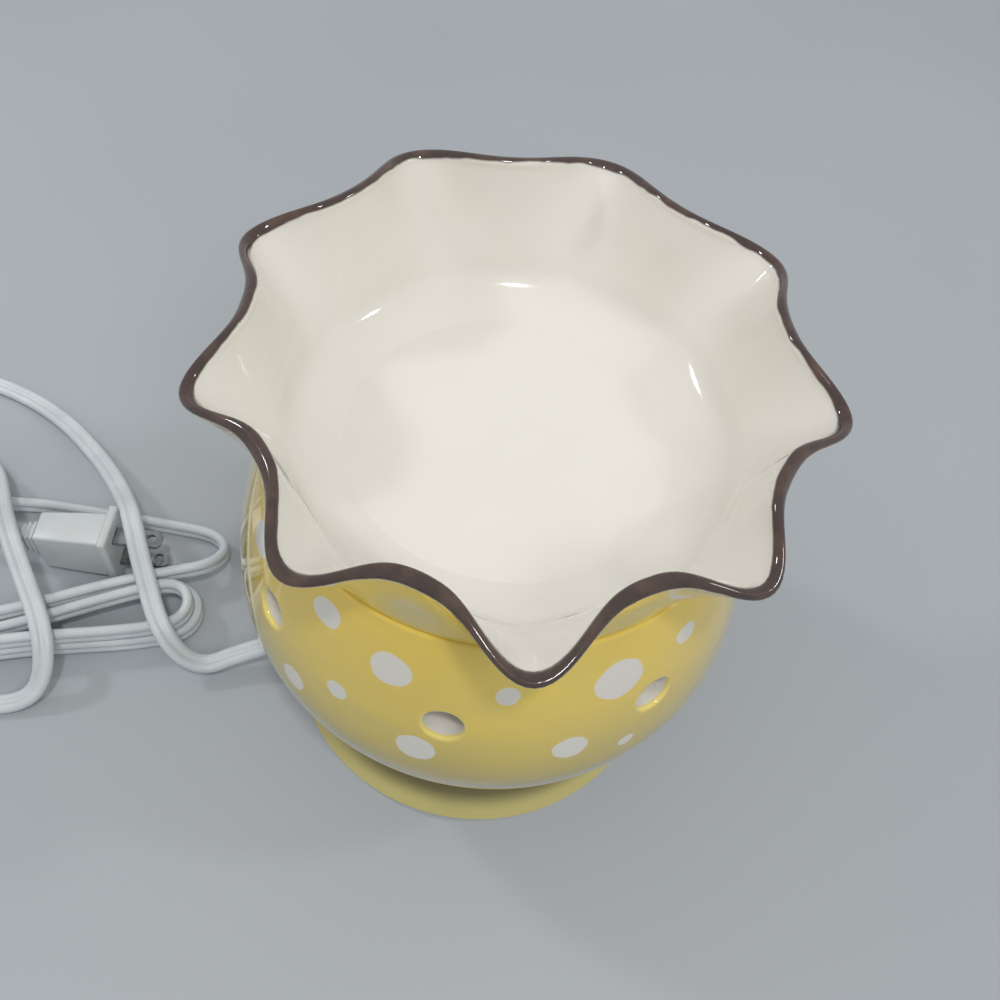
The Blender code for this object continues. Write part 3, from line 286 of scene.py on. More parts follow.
# %% The hank's loops
def waist_share(along):
    """1 at the hank's middle, where its tie is, fading to 0 at the ends of its runs."""
    return (1 + math.cos(math.pi * min(abs(along) / HANK_HALF_RUN, 1.0))) / 2


def loop_at(share, wide):
    """A point along and across one loop, whose two folds take a third of it each."""
    half = share % 0.5
    sign = 1.0 if share % 1.0 < 0.5 else -1.0
    if half < 1 / 3:
        a = math.pi * half * 3
        along = HANK_HALF_RUN + wide * math.sin(a)
        across = wide * math.cos(a)
    else:
        along = HANK_HALF_RUN * (1 - 12 * (half - 1 / 3))
        across = HANK_WAIST * waist_share(along) - wide
    return sign * along, sign * across


def hank_points(finer=1):
    start, end = HANK_CLIMB
    points = []
    count = round(HANK_TURNS * HANK_POINTS) * finer
    for i in range(count + 1):
        turn = HANK_TURNS * i / count
        wide = HANK_FOLD_R + HANK_PITCH * max(start - turn, 0.0, turn - end)
        climbed = min(max((turn - start) / (end - start), 0.0), 1.0)
        along, across = loop_at(turn, wide)
        height = TABLE_GAP + LEAD_WIDE / 2 + HANK_LAYER * climbed + HANK_LIFT * waist_share(along)
        points.append(HANK_MIDDLE + HANK_WAY * along + HANK_SIDE * across + UP * height)
    points.insert(0, points[0] - HANK_WAY * LEAD_WIDE)
    points.append(points[-1] - HANK_WAY * LEAD_WIDE)
    return points


# %% The free stretches
def evenly(line, step):
    """The line again, with points about step apart."""
    along = [0.0]
    for a, b in zip(line, line[1:]):
        along.append(along[-1] + (b - a).length)
    count = max(2, round(along[-1] / step))
    points = []
    at = 0
    for i in range(count + 1):
        want = along[-1] * i / count
        while at < len(along) - 2 and along[at + 1] < want:
            at += 1
        share = (want - along[at]) / (along[at + 1] - along[at])
        points.append(line[at].lerp(line[at + 1], min(share, 1.0)))
    return points


def smooth_route(route, step):
    """Points about step apart on a smooth curve through the route, its two end runs straight."""
    knots = [Vector(p) for p in route]
    fine = []
    for before, start, end, after in zip(knots, knots[1:], knots[2:], knots[3:]):
        for i in range(CURVE_STEPS):
            t = i / CURVE_STEPS
            fine.append(0.5 * (2 * start + (end - before) * t
                               + (2 * before - 5 * start + 4 * end - after) * t ** 2
                               + (3 * start - before - 3 * end + after) * t ** 3))
    fine.append(knots[-2])
    return [knots[0]] + evenly(fine, step) + [knots[-1]]


def in_mm(points):
    return [Vector(p) * MM for p in points]


hank = hank_points(finer=3)
from_foot = [EXIT_WAY * (SLEEVE_END + CLEAR + run) + UP * EXIT_Z for run in (0.0, STRAIGHT)]
into_switch = [SWITCH_MIDDLE + Vector((-SWITCH_HALF_LONG - run, 0.0, SWITCH_PART_Z))
               for run in (STRAIGHT, 0.0)]
from_switch = [SWITCH_MIDDLE + Vector((SWITCH_HALF_LONG + run, 0.0, SWITCH_PART_Z))
               for run in (0.0, STRAIGHT)]
inside_switch = [SWITCH_MIDDLE + Vector((x * MM, y * MM, SWITCH_PART_Z)) for x, y in
                 ((-29, 0), (-18, 0), (-11, 3.2), (-4, 6.4),
                  (4, 6.4), (11, 3.2), (18, 0), (29, 0))]
into_hank = [hank[0] - HANK_WAY * (CLEAR + run) for run in (STRAIGHT, 0.0)]
from_hank = [hank[-1] - HANK_WAY * (CLEAR + run) for run in (0.0, STRAIGHT)]
into_plug = [PLUG_FACE - PLUG_WAY * (PLUG_BACK + run) for run in (STRAIGHT, 0.0)]
to_switch = from_foot + in_mm([
    (-80, -20.6, 7.4), (-86.5, -24.0, 5.9), (-92.5, -24.8, 8.4), (-98, -22.8, 13.2),
    (-102.5, -18.6, 17.6), (-106.3, -13.2, 19.0), (-109.6, -7.6, 19.8), (-112.8, -2, 21.4),
    (-116.2, 4.2, 23.4), (-120.2, 11.8, 24.4), (-125.6, 21, 23.0), (-133.6, 31.4, 19.0),
    (-144, 43, 13.6), (-156, 54.6, 8.4), (-170, 66, 4.4), (-186, 75, 2.3), (-203, 80.4, 1.8),
    (-221, 82.4, 1.8), (-239, 80.2, 1.8), (-255, 73.0, 2.0), (-266, 61.5, 3.0),
    (-267.6, 48.6, 5.2)]) + into_switch
to_hank = from_switch + in_mm([
    (-180, 32.4, 12.0), (-173, 22.6, 17.0), (-165.6, 11.4, 21.2), (-158.4, 1, 21.8),
    (-151.4, -8.6, 20.8), (-144.6, -17.6, 19.6), (-139.2, -25.6, 18.8), (-136.2, -32.2, 16.2),
    (-136, -38, 10.6), (-138.4, -42.4, 5.2), (-143.4, -45.6, 2.6), (-151, -47.6, 1.9),
    (-162, -49.8, 1.9), (-175, -52.8, 2.2), (-187, -55.6, 3.0)]) + into_hank
to_plug = from_hank + in_mm([
    (-94.6, 13.4, 8.6), (-93.6, 19, 5.8), (-96.4, 24.2, 4.0), (-103, 26.8, 3.6),
    (-115, 27.4, 3.5), (-131, 27.8, 3.5), (-148, 28.0, 3.5), (-165, 27.6, 3.6),
    (-179.4, 24.6, 4.6), (-187.4, 18, 7.2), (-184.6, 9.6, 11.4)]) + into_plug

# %% [markdown]
# ## The lead
# It is a flat lead: two round cores side by side in soft vinyl, with a groove between them
# and fine ribs on one side, which tell the two wires apart. A curve's bevel would twist such
# a section, so the section is carried along the route point by point. It lies flat at first
# and rolls on to its edge before the hank, whose strands stand side by side.

# %% The lead's section and sweep
LEAD_STEP = 2.2 * MM
WEB = 1.05 * MM
RIBS = 5
RIB_HIGH = 0.13 * MM
ROLL_LENGTH = 34.0 * MM
LEAD_HIDDEN = 7.0 * MM  # how far the lead's ends reach into the sleeve and the plug


def lead_section():
    """The outline of the two cores: points across and up, the ribbed core at +X."""
    core = LEAD_THICK / 2
    inner = math.pi - math.asin(WEB / core)
    outline = []
    for side, count in ((1, 30), (-1, 14)):
        for i in range(count + 1):
            a = inner * (2 * i / count - 1)
            radius = core
            if side == 1 and abs(a) < math.pi / 2:
                radius -= RIB_HIGH * (1 + math.cos(2 * RIBS * a)) / 2 * math.cos(a)
            across = core + radius * math.cos(a)
            outline.append((side * across, side * radius * math.sin(a)))
    return outline


def relaxed(line, rounds):
    """The line with its points drawn towards their neighbours, its ends left in place."""
    for _ in range(rounds):
        inner = [(a + 2 * b + c) / 4 for a, b, c in zip(line, line[1:], line[2:])]
        line = [line[0]] + inner + [line[-1]]
    return line


def swept(name, line, section, rolls=None):
    """A closed mesh: the section carried along the line, and rolled by an angle at each point.

    Without rolls, the section keeps its own way up from point to point instead of the world's,
    because a line that climbs straight up has no level direction.
    """
    mesh = bpy.data.meshes.new(name)
    shape = bmesh.new()
    rings = []
    level = None
    for i, point in enumerate(line):
        ahead = (line[min(i + 1, len(line) - 1)] - line[max(i - 1, 0)]).normalized()
        if rolls:
            level = ahead.cross(UP).normalized()
        else:
            level = level or ahead.orthogonal()
            level = (level - ahead * level.dot(ahead)).normalized()
        rise = level.cross(ahead)
        turn = rolls[i] if rolls else 0.0
        across = level * math.cos(turn) + rise * math.sin(turn)
        above = rise * math.cos(turn) - level * math.sin(turn)
        rings.append([shape.verts.new(point + across * u + above * v) for u, v in section])
    for first, second in zip(rings, rings[1:]):
        for j in range(len(section)):
            k = (j + 1) % len(section)
            shape.faces.new((first[j], first[k], second[k], second[j]))
    shape.faces.new(rings[0][::-1])
    shape.faces.new(rings[-1])
    bmesh.ops.recalc_face_normals(shape, faces=shape.faces)
    shape.to_mesh(mesh)
    shape.free()
    mesh.shade_smooth()
    made = bpy.data.objects.new(name, mesh)
    bpy.context.scene.collection.objects.link(made)
    return made


flat_part = (smooth_route(to_switch, LEAD_STEP) + smooth_route(inside_switch, LEAD_STEP)
             + smooth_route(to_hank, LEAD_STEP))
edge_part = hank + smooth_route(to_plug, LEAD_STEP)
flat_part.insert(0, flat_part[0] - EXIT_WAY * LEAD_HIDDEN)
edge_part.append(edge_part[-1] + PLUG_WAY * LEAD_HIDDEN)
lead_line = relaxed(evenly(flat_part + edge_part, LEAD_STEP), 2)
flat_length = sum((b - a).length for a, b in zip(flat_part, flat_part[1:]))
rolls = []
run = 0.0
for a, b in zip(lead_line, lead_line[1:] + lead_line[-1:]):
    share = min(max((run - flat_length + ROLL_LENGTH) / ROLL_LENGTH, 0.0), 1.0)
    rolls.append(math.pi / 2 * share * share * (3 - 2 * share))
    run += (b - a).length
lead = swept("lead", lead_line, lead_section(), rolls)
print("lead:", round(run, 4), "m,", len(lead_line), "rings,", len(lead.data.polygons), "faces")

# %% [markdown]
# ## White vinyl
# Soft vinyl is a dull white with a weak, wide shine. It lets a little light in, which keeps
# its shadows soft, and handling leaves it unevenly grey. The noise is stretched over
# centimetres for the greying and over half a millimetre for the faint orange peel.

# %% White vinyl
def vinyl(name, bright, dull, roughness):
    made, tree, shader = new_finish(name, roughness=roughness, subsurface_weight=0.08)
    shader.inputs["Subsurface Radius"].default_value = (0.6 * MM, 0.6 * MM, 0.7 * MM)
    shader.inputs["Subsurface Scale"].default_value = 1.0
    worn = mapped(tree, noise(tree, 45.0, 3.0), 0.35, 0.7, smooth=True)
    tree.links.new(mixed(tree, worn, bright, dull), shader.inputs["Base Color"])
    bump(tree, shader, noise(tree, 1800.0), 0.02 * MM, 0.5)
    return made


lead_vinyl = vinyl("lead_vinyl", srgb(222, 228, 230), srgb(205, 212, 214), 0.36)
moulded_white = vinyl("moulded_white", srgb(214, 218, 218), srgb(204, 209, 209), 0.30)
lead.data.materials.append(lead_vinyl)
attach(lead, "base")
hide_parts("cord_to_switch", "cord_to_hank", "cord_hank", "cord_to_plug")

# %% [markdown]
# ## Turning on the wheel
# The pot, the dish and most of the hardware are round, so they are made as on a wheel. A
# plane is merged to one point, the point is extruded along the profile, and Spin carries the
# profile round. The seam and the poles are then merged, and the faces turned outwards.

# %% Turning helper
def fresh_start(*pieces):
    """Object mode, with only these pieces selected and the first of them active."""
    if bpy.context.object and bpy.context.object.mode != "OBJECT":
        bpy.ops.object.mode_set(mode="OBJECT")
    bpy.ops.object.select_all(action="DESELECT")
    for piece in pieces:
        piece.select_set(True)
    if pieces:
        bpy.context.view_layer.objects.active = pieces[0]


def turned(name, profile, steps, ring=False):
    """A profile of (radius, height) points turned about the Z axis. A ring's is closed."""
    fresh_start()
    bpy.ops.mesh.primitive_plane_add(size=MM, location=(0.0, 0.0, 0.0))
    made = bpy.context.object
    made.name = name
    made.data.name = name
    bpy.ops.object.mode_set(mode="EDIT")
    bpy.ops.mesh.select_mode(type="VERT")
    bpy.ops.mesh.merge(type="CENTER")
    bpy.ops.transform.translate(value=(profile[0][0], 0.0, profile[0][1]))
    line = profile + profile[:1] if ring else profile
    for (r, z), (next_r, next_z) in zip(line, line[1:]):
        bpy.ops.mesh.extrude_vertices_move(
            TRANSFORM_OT_translate={"value": (next_r - r, 0.0, next_z - z)})
    bpy.ops.mesh.select_all(action="SELECT")
    bpy.ops.mesh.spin(steps=steps, angle=math.tau, center=(0.0, 0.0, 0.0), axis=(0.0, 0.0, 1.0))
    bpy.ops.mesh.select_all(action="SELECT")
    bpy.ops.mesh.remove_doubles(threshold=0.00001)
    bpy.ops.mesh.normals_make_consistent(inside=False)
    bpy.ops.object.mode_set(mode="OBJECT")
    return made


def rod(name, radius, start, end, steps):
    """A plain round rod or drill from one height to another."""
    return turned(name, [(0.0, start), (radius, start), (radius, end), (0.0, end)], steps)


def arc(centre, radius, start, end, steps):
    """Points on an arc of a profile, its angles in degrees from the outward direction."""
    points = []
    for i in range(steps + 1):
        a = math.radians(start + (end - start) * i / steps)
        points.append((centre[0] + radius * math.cos(a), centre[1] + radius * math.sin(a)))
    return points


def bent(start, first, second, end, steps):
    """Points on a curve from start to end that two handles bend, as a Bezier curve's do."""
    points = []
    for i in range(steps + 1):
        t = i / steps
        u = 1 - t
        points.append(tuple(u ** 3 * a + 3 * u * u * t * b + 3 * u * t * t * c + t ** 3 * d
                            for a, b, c, d in zip(start, first, second, end)))
    return points


def spread(start, end, count):
    """Numbers in equal steps from start, which is left out, to end."""
    return [start + (end - start) * i / count for i in range(1, count + 1)]


def edit(piece, mode, wanted):
    """Edit mode on a piece, with the points, edges or faces selected that are wanted."""
    fresh_start(piece)
    bpy.ops.object.mode_set(mode="EDIT")
    bpy.ops.mesh.select_mode(type=mode)
    bpy.ops.mesh.select_all(action="DESELECT")
    shape = bmesh.from_edit_mesh(piece.data)
    shape.normal_update()
    parts = {"VERT": shape.verts, "EDGE": shape.edges, "FACE": shape.faces}
    for part in parts[mode]:
        if wanted(part):
            part.select_set(True)
    shape.select_flush_mode()
    bmesh.update_edit_mesh(piece.data)


def shade(piece, angle=40.0):
    fresh_start(piece)
    bpy.ops.object.shade_smooth_by_angle(angle=math.radians(angle))


def apply_all(piece):
    fresh_start(piece)
    for step in list(piece.modifiers):
        bpy.ops.object.modifier_apply(modifier=step.name)


# %% [markdown]
# ## The pot's shape
# Two curves make the outline: a full bulge, rounder above its widest ring than below, and a
# foot that flares out of the neck. Both are formulas, so the profile can be as fine as the
# render needs. The wall is turned with its inside, its shelf for the socket and the recess
# under the foot, so the pot is whole from every side.

# %% The pot's outline
pot_low, pot_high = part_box("pot")
BULGE_R = pot_high.x
POT_TOP = pot_high.z
POT_BOTTOM = pot_low.z
BULGE_Z = 71.2 * MM
BULGE_DROP = 69.6 * MM
BULGE_RISE = 135.7 * MM
LOWER_POWER = 1.75
UPPER_POWER = 1.5
POT_WALL = 4.5 * MM
LIP_WIDTH = 3.4 * MM
LIP_ROUND = 1.2 * MM
NECK_Z = 21.0 * MM
FOOT_R = 62.6 * MM
FOOT_POWER = 1.6
FOOT_WALL = 5.0 * MM
FOOT_RING = 8.3 * MM
PAD_HEIGHT = 0.8 * MM
COVER_THICK = 2.0 * MM
COVER_LEDGE = 2.6 * MM
SHELF_TOP = 25.0 * MM
SHELF_UNDER = 19.0 * MM
TUBE_HOLE = 5.05 * MM


def bulge(z, inset=0.0):
    """The pot's radius at a height, or its inner wall's when inset is the wall."""
    if z < BULGE_Z:
        share = (BULGE_Z - z) / (BULGE_DROP - inset)
        power = LOWER_POWER
    else:
        share = (z - BULGE_Z) / BULGE_RISE
        power = UPPER_POWER
    return (BULGE_R - inset) * (1 - min(share, 1.0) ** power) ** (1 / power)


def foot(z):
    """The foot's outer radius at a height below the neck."""
    share = (NECK_Z - z) / (NECK_Z - PAD_HEIGHT)
    return bulge(NECK_Z) + (FOOT_R - bulge(NECK_Z)) * share ** FOOT_POWER


def pot_profile():
    """Lip, bulge and foot down the outside, then the recess, the shelf and the wall up."""
    lip = bulge(POT_TOP)
    points = arc((lip - LIP_ROUND, POT_TOP - LIP_ROUND), LIP_ROUND, 90, 10, 5)
    points += [(bulge(z), z) for z in spread(POT_TOP - 1.2 * LIP_ROUND, NECK_Z, 46)]
    toe = POT_BOTTOM + LIP_ROUND
    points += [(foot(z), z) for z in spread(NECK_Z, toe, 12)]
    points += arc((foot(toe) - LIP_ROUND, toe), LIP_ROUND, 0, -90, 4)[1:]
    recess = foot(POT_BOTTOM) - FOOT_RING
    ledge = POT_BOTTOM + COVER_THICK + CLEAR
    points += [(recess, POT_BOTTOM), (recess, ledge), (recess - COVER_LEDGE, ledge)]
    for share in spread(0.0, 1.0, 6):
        z = ledge + (SHELF_UNDER - ledge) * share
        points.append((foot(z) - FOOT_WALL - COVER_LEDGE * (1 - share), z))
    points += [(TUBE_HOLE, SHELF_UNDER), (TUBE_HOLE, SHELF_TOP)]
    inner_lip = POT_TOP - 2 * LIP_ROUND
    for z in [SHELF_TOP] + spread(SHELF_TOP, inner_lip, 24):
        points.append((min(bulge(z, POT_WALL), lip - LIP_WIDTH + (inner_lip - z) * 0.9), z))
    points += arc((lip - LIP_WIDTH + LIP_ROUND, POT_TOP - LIP_ROUND), LIP_ROUND, 180, 96, 4)
    return points


pot = turned("pot_glazed", pot_profile(), 168, ring=True)
print("pot:", len(pot.data.polygons), "faces")

# %% [markdown]
# ## Vent holes
# Eight round holes let the warm air move. On fired ceramic their edges are soft, because the
# wet clay is wiped and the glaze pulls back from the edge. Pushed through wet clay, a hole
# also gets a thick collar on the inside, which is what shows through it from above. One
# Boolean adds the collars. A second one drills the holes, with turned drills that widen in a
# quarter round at the pot's outside, and a third cuts the way for the lead.

# %% Vent holes
VENT_R = 5.0 * MM
VENT_EDGE = 1.3 * MM
VENT_Z = 94.0 * MM
VENT_COUNT = 8
VENT_PHASE = math.radians(-94.0)
COLLAR_WIDE = 2.2 * MM
COLLAR_DEEP = 8.5 * MM
COLLAR_ROUND = 1.4 * MM
SLEEVE_R = 5.4 * MM


def joined(pieces):
    fresh_start(*pieces)
    bpy.ops.object.join()
    return pieces[0]


def placed(piece, matrix):
    """The piece moved and turned in its mesh, its object left at the origin."""
    piece.data.transform(matrix)
    piece.data.update()
    return piece


def cut_away(piece, cutter, operation="DIFFERENCE"):
    step = piece.modifiers.new("cut", "BOOLEAN")
    step.operation = operation
    step.solver = "MANIFOLD"
    step.object = cutter
    apply_all(piece)
    bpy.data.objects.remove(cutter)


def vent_lean():
    """How far the wall leans in at the height of the holes."""
    return math.atan2(bulge(VENT_Z - MM) - bulge(VENT_Z + MM), 2 * MM)


def vent_matrix(number):
    """From a drill that points up to one that points out of the pot, square to its wall."""
    spin = VENT_PHASE + math.tau * number / VENT_COUNT
    out = Matrix.Rotation(spin, 4, "Z") @ Matrix.Rotation(math.pi / 2 - vent_lean(), 4, "Y")
    foot_of_drill = VENT_Z - bulge(VENT_Z) * math.tan(vent_lean())
    return Matrix.Translation((0.0, 0.0, foot_of_drill)) @ out


surface = bulge(VENT_Z) / math.cos(vent_lean())
collar_r = VENT_R + COLLAR_WIDE
collar_top = surface - POT_WALL / 2
collar_profile = [(0.0, collar_top), (collar_r, collar_top)]
collar_profile += arc((collar_r - COLLAR_ROUND, surface - COLLAR_DEEP + COLLAR_ROUND),
                      COLLAR_ROUND, 0, -90, 5)
collar_profile.append((0.0, surface - COLLAR_DEEP))
collars = [placed(turned(f"collar_{i + 1}", collar_profile, 36), vent_matrix(i))
           for i in range(VENT_COUNT)]
cut_away(pot, joined(collars), "UNION")
drill_profile = [(0.0, surface + POT_WALL), (VENT_R + 2 * VENT_EDGE, surface + POT_WALL),
                 (VENT_R + 1.6 * VENT_EDGE, surface + 0.25 * VENT_EDGE)]
drill_profile += arc((VENT_R + VENT_EDGE, surface - VENT_EDGE), VENT_EDGE, 95, 180, 7)
drill_profile += [(VENT_R, surface - 3 * POT_WALL), (0.0, surface - 3 * POT_WALL)]
drills = [placed(turned(f"drill_{i + 1}", drill_profile, 48), vent_matrix(i))
          for i in range(VENT_COUNT)]
cut_away(pot, joined(drills))

wall = foot(EXIT_Z)
far, near = wall + 3 * FOOT_WALL, wall - 3 * FOOT_WALL
lead_drill = rod("lead_drill", SLEEVE_R + CLEAR, far, near, 48)
exit_matrix = (Matrix.Translation((0.0, 0.0, EXIT_Z)) @ Matrix.Rotation(EXIT_ANGLE, 4, "Z")
               @ Matrix.Rotation(math.pi / 2, 4, "Y"))
placed(lead_drill, exit_matrix)
cut_away(pot, lead_drill)
edit(pot, "VERT", lambda point: True)
bpy.ops.mesh.remove_doubles(threshold=0.02 * MM)
bpy.ops.mesh.dissolve_degenerate(threshold=0.02 * MM)
bpy.ops.object.mode_set(mode="OBJECT")
shade(pot, 35.0)
print("pot with holes:", len(pot.data.polygons), "faces")

# %% [markdown]
# ## Yellow glaze with dots
# Before firing, round spots are kept free of yellow, so the cream clay shows there under the
# clear glaze. Each spot is a distance from a point on the pot, and the nearest one wins. A
# little noise pushes the edges, as a hand-laid spot is never quite round. The glaze breaks
# bright and thin over edges, so a soft ring round each hole takes a paler yellow. The yellow
# is painted darker and duller towards the lower bulge, as painted shade, and the foot gets a
# painted shadow band just under the neck, where the bulge shades it.

# %% Yellow glaze
DOTS = ((-106.4, 107.6, 10.5), (-58.3, 106.9, 13.0), (-117.0, 89.9, 6.0), (-82.2, 107.6, 6.0),
        (-67.7, 85.2, 9.0), (-98.7, 82.0, 10.0), (-123.2, 112.7, 8.5), (-40.7, 109.6, 6.5),
        (-148.5, 107.9, 10.0), (-54.5, 78.7, 4.5), (-128.9, 79.1, 8.0))  # azimuth, z, diameter
BACK_DOTS = ((-172.0, 86.0, 8.5), (168.0, 108.5, 6.0), (152.0, 84.0, 10.5), (133.0, 107.0, 12.0),
             (112.0, 82.5, 6.5), (96.0, 108.0, 8.0), (78.0, 80.5, 9.5), (57.0, 107.5, 10.5),
             (34.0, 84.5, 7.5), (14.0, 108.5, 9.0), (-6.0, 82.0, 10.0), (-18.0, 58.0, 5.0),
             (-152.0, 72.0, 5.0), (124.0, 70.0, 5.5), (44.0, 69.0, 6.0), (-30.0, 68.0, 7.0))
LOW_SHADE_SPAN = (104 * MM, 46 * MM)  # the heights between which the yellow is painted darker and duller: painted shade on the lower bulge
# where the foot's tone takes over, and the heights above the toe where its painted shadow band
# under the bulge begins
FOOT_BEGINS = (28 * MM, 20 * MM)
NECK_SHADOW_FROM = (3.5 * MM, 8 * MM)
LIP_YELLOW = 4 * MM  # how far the yellow reaches down inside the lip


def on_pot(azimuth, z):
    a = math.radians(azimuth)
    return Vector((bulge(z) * math.cos(a), bulge(z) * math.sin(a), z))


def nearest_spot(tree, where, spots, soft):
    """1 inside any of the spots, each a (point, radius), fading to 0 over soft."""
    best = None
    for point, radius in spots:
        gap = add(tree, "ShaderNodeVectorMath", {0: where, 1: point}, operation="DISTANCE")
        inside = mapped(tree, gap.outputs["Value"], radius + soft / 2, radius - soft / 2,
                        smooth=True)
        best = inside if best is None else worked(tree, "MAXIMUM", best, inside)
    return best


def wobbled(tree, scale, amount):
    """Object coordinates pushed about by noise, for edges that aren't quite round."""
    where = place_in(tree)
    cloud = add(tree, "ShaderNodeTexNoise", {"Vector": where, "Scale": scale, "Detail": 1.0})
    middle = add(tree, "ShaderNodeVectorMath", {0: cloud.outputs["Color"], 1: (0.5, 0.5, 0.5)},
                 operation="SUBTRACT")
    push = add(tree, "ShaderNodeVectorMath", {0: middle.outputs[0], "Scale": amount},
               operation="SCALE")
    return add(tree, "ShaderNodeVectorMath", {0: where, 1: push.outputs[0]}).outputs[0]


def new_glaze(name, roughness=0.12):
    """A finish with a clear coat. Its own shine is kept low, or the glaze would shine twice."""
    made, tree, shader = new_finish(name, roughness=roughness, coat_weight=1.0,
                                    coat_roughness=0.03)
    shader.inputs["Specular IOR Level"].default_value = 0.15
    return made, tree, shader


def cream_tone(tree):
    clouded = mapped(tree, noise(tree, 14.0, 3.0), 0.35, 0.7, smooth=True)
    return mixed(tree, clouded, srgb(241, 236, 226), srgb(234, 228, 216))


yellow_glaze, tree, shader = new_glaze("yellow_glaze", 0.13)
dots = [(on_pot(a, z * MM), width / 2 * MM) for a, z, width in DOTS + BACK_DOTS]
dotted = nearest_spot(tree, wobbled(tree, 120.0, 1.6 * MM), dots, 0.5 * MM)
vents = [(on_pot(math.degrees(VENT_PHASE) + 360 * i / VENT_COUNT, VENT_Z), VENT_R + 0.7 * MM)
         for i in range(VENT_COUNT)]
thin = nearest_spot(tree, place_in(tree), vents, 1.2 * MM)
brushed = mapped(tree, noise(tree, 26.0, 4.0, (1.0, 1.0, 2.2), 0.6), 0.32, 0.68, smooth=True)
yellow = mixed(tree, brushed, srgb(250, 221, 100), srgb(238, 213, 108))
pooled = mapped(tree, noise(tree, 9.0, 1.0, (1.0, 1.0, 2.0)), 0.4, 0.75)
yellow = mixed(tree, pooled, yellow, srgb(248, 211, 92))
level = height_in(tree)
# painted shade: the yellow turns darker and duller towards the lower bulge
low_shade = mapped(tree, level, *LOW_SHADE_SPAN, smooth=True)
yellow = mixed(tree, low_shade, yellow, srgb(160, 147, 82))
# painted shadow: the bulge's shade on the foot's upper part, over the toe's own lighter yellow
neck_shadow = mapped(tree, level, *NECK_SHADOW_FROM, smooth=True)
at_foot = mapped(tree, level, *FOOT_BEGINS, smooth=True)
foot_tone_and_shadow = mixed(tree, neck_shadow, srgb(198, 186, 118), srgb(120, 111, 66))
yellow = mixed(tree, at_foot, yellow, foot_tone_and_shadow)
yellow = mixed(tree, thin, yellow, srgb(250, 228, 132))
tree.links.new(mixed(tree, dotted, yellow, srgb(238, 233, 222)), shader.inputs["Base Color"])
bump(tree, shader, noise(tree, 70.0, 2.0), 0.06 * MM, 0.4)

cream_glaze, tree, shader = new_glaze("cream_glaze")
tree.links.new(cream_tone(tree), shader.inputs["Base Color"])
bump(tree, shader, noise(tree, 60.0, 2.0), 0.05 * MM, 0.4)

pot.data.materials.clear()
pot.data.materials.append(yellow_glaze)
pot.data.materials.append(cream_glaze)
for face in pot.data.polygons:
    radius = math.hypot(face.center.x, face.center.y)
    z = face.center.z
    outer = bulge(z) if z > NECK_Z else foot(max(z, PAD_HEIGHT))
    face.material_index = int(radius < outer - 1.3 * VENT_EDGE and z < POT_TOP - LIP_YELLOW)
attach(pot, "base")
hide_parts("pot")

# %% [markdown]
# ## The dish's shape
# The dish was turned too, and its soft wall was then pushed into nine ruffles. The same order
# works here: a plain bowl is turned first, and then each point of its wall moves out and
# down, or in and up, by a wave round the dish that fades towards the floor. The rim is a little
# oval and off the middle, and its front ruffle hangs lower than the others, as hand work does.
# Before the wave, each point notes how far it lies from the rim along the profile, so that the
# brown edge can follow the ruffle.

# %% The dish
RIM_R = 69.7 * MM
RIM_Z = 151.2 * MM
RUFFLES = 9
RUFFLE_OUT = 6.0 * MM
RUFFLE_SHARP = 1.0 * MM
RUFFLE_DROP = 2.4 * MM
RUFFLE_DROP_SHARP = 0.6 * MM
RUFFLE_PHASE = math.radians(-81.4)
OVAL = 1.0 * MM  # how much longer the rim is from front to back, and shorter from side to side
OFFSET = Vector((0.6, 2.0, 0.0)) * MM
FRONT_OUT = 2.8 * MM
FRONT_DROP = 1.6 * MM
FRONT_SPREAD = math.radians(14.0)
RUFFLE_FADE = 1.35
RUFFLE_START = 0.5 * MM
RUFFLE_EASE = 0.15  # the share of the wall's height in which the wave sets in
DISH_WALL = 3.6 * MM
DISH_FLARE = 1.4 * MM
DISH_FLOOR_R = 41.7 * MM
DISH_FLOOR_TOP = 118.7 * MM
DISH_FLOOR_THICK = 4.2 * MM
DISH_COVE = 7.5 * MM
DISH_RING_DEPTH = 6.5 * MM
DISH_RING_WIDTH = 4.0 * MM
DISH_RING_PLAY = 0.9 * MM
DISH_INSET = 1.2 * MM
DISH_SEAT = POT_TOP + CLEAR
RIM_ROUND = DISH_WALL / 2
WALL_ROWS = 36
ROW_CROWDING = 1.4  # how much closer the wall's rows lie towards its foot
THROW_RINGS = 0.04 * MM
BAND_WAVE = 0.4 * MM  # how much further in the brown reaches on the ruffles than between them


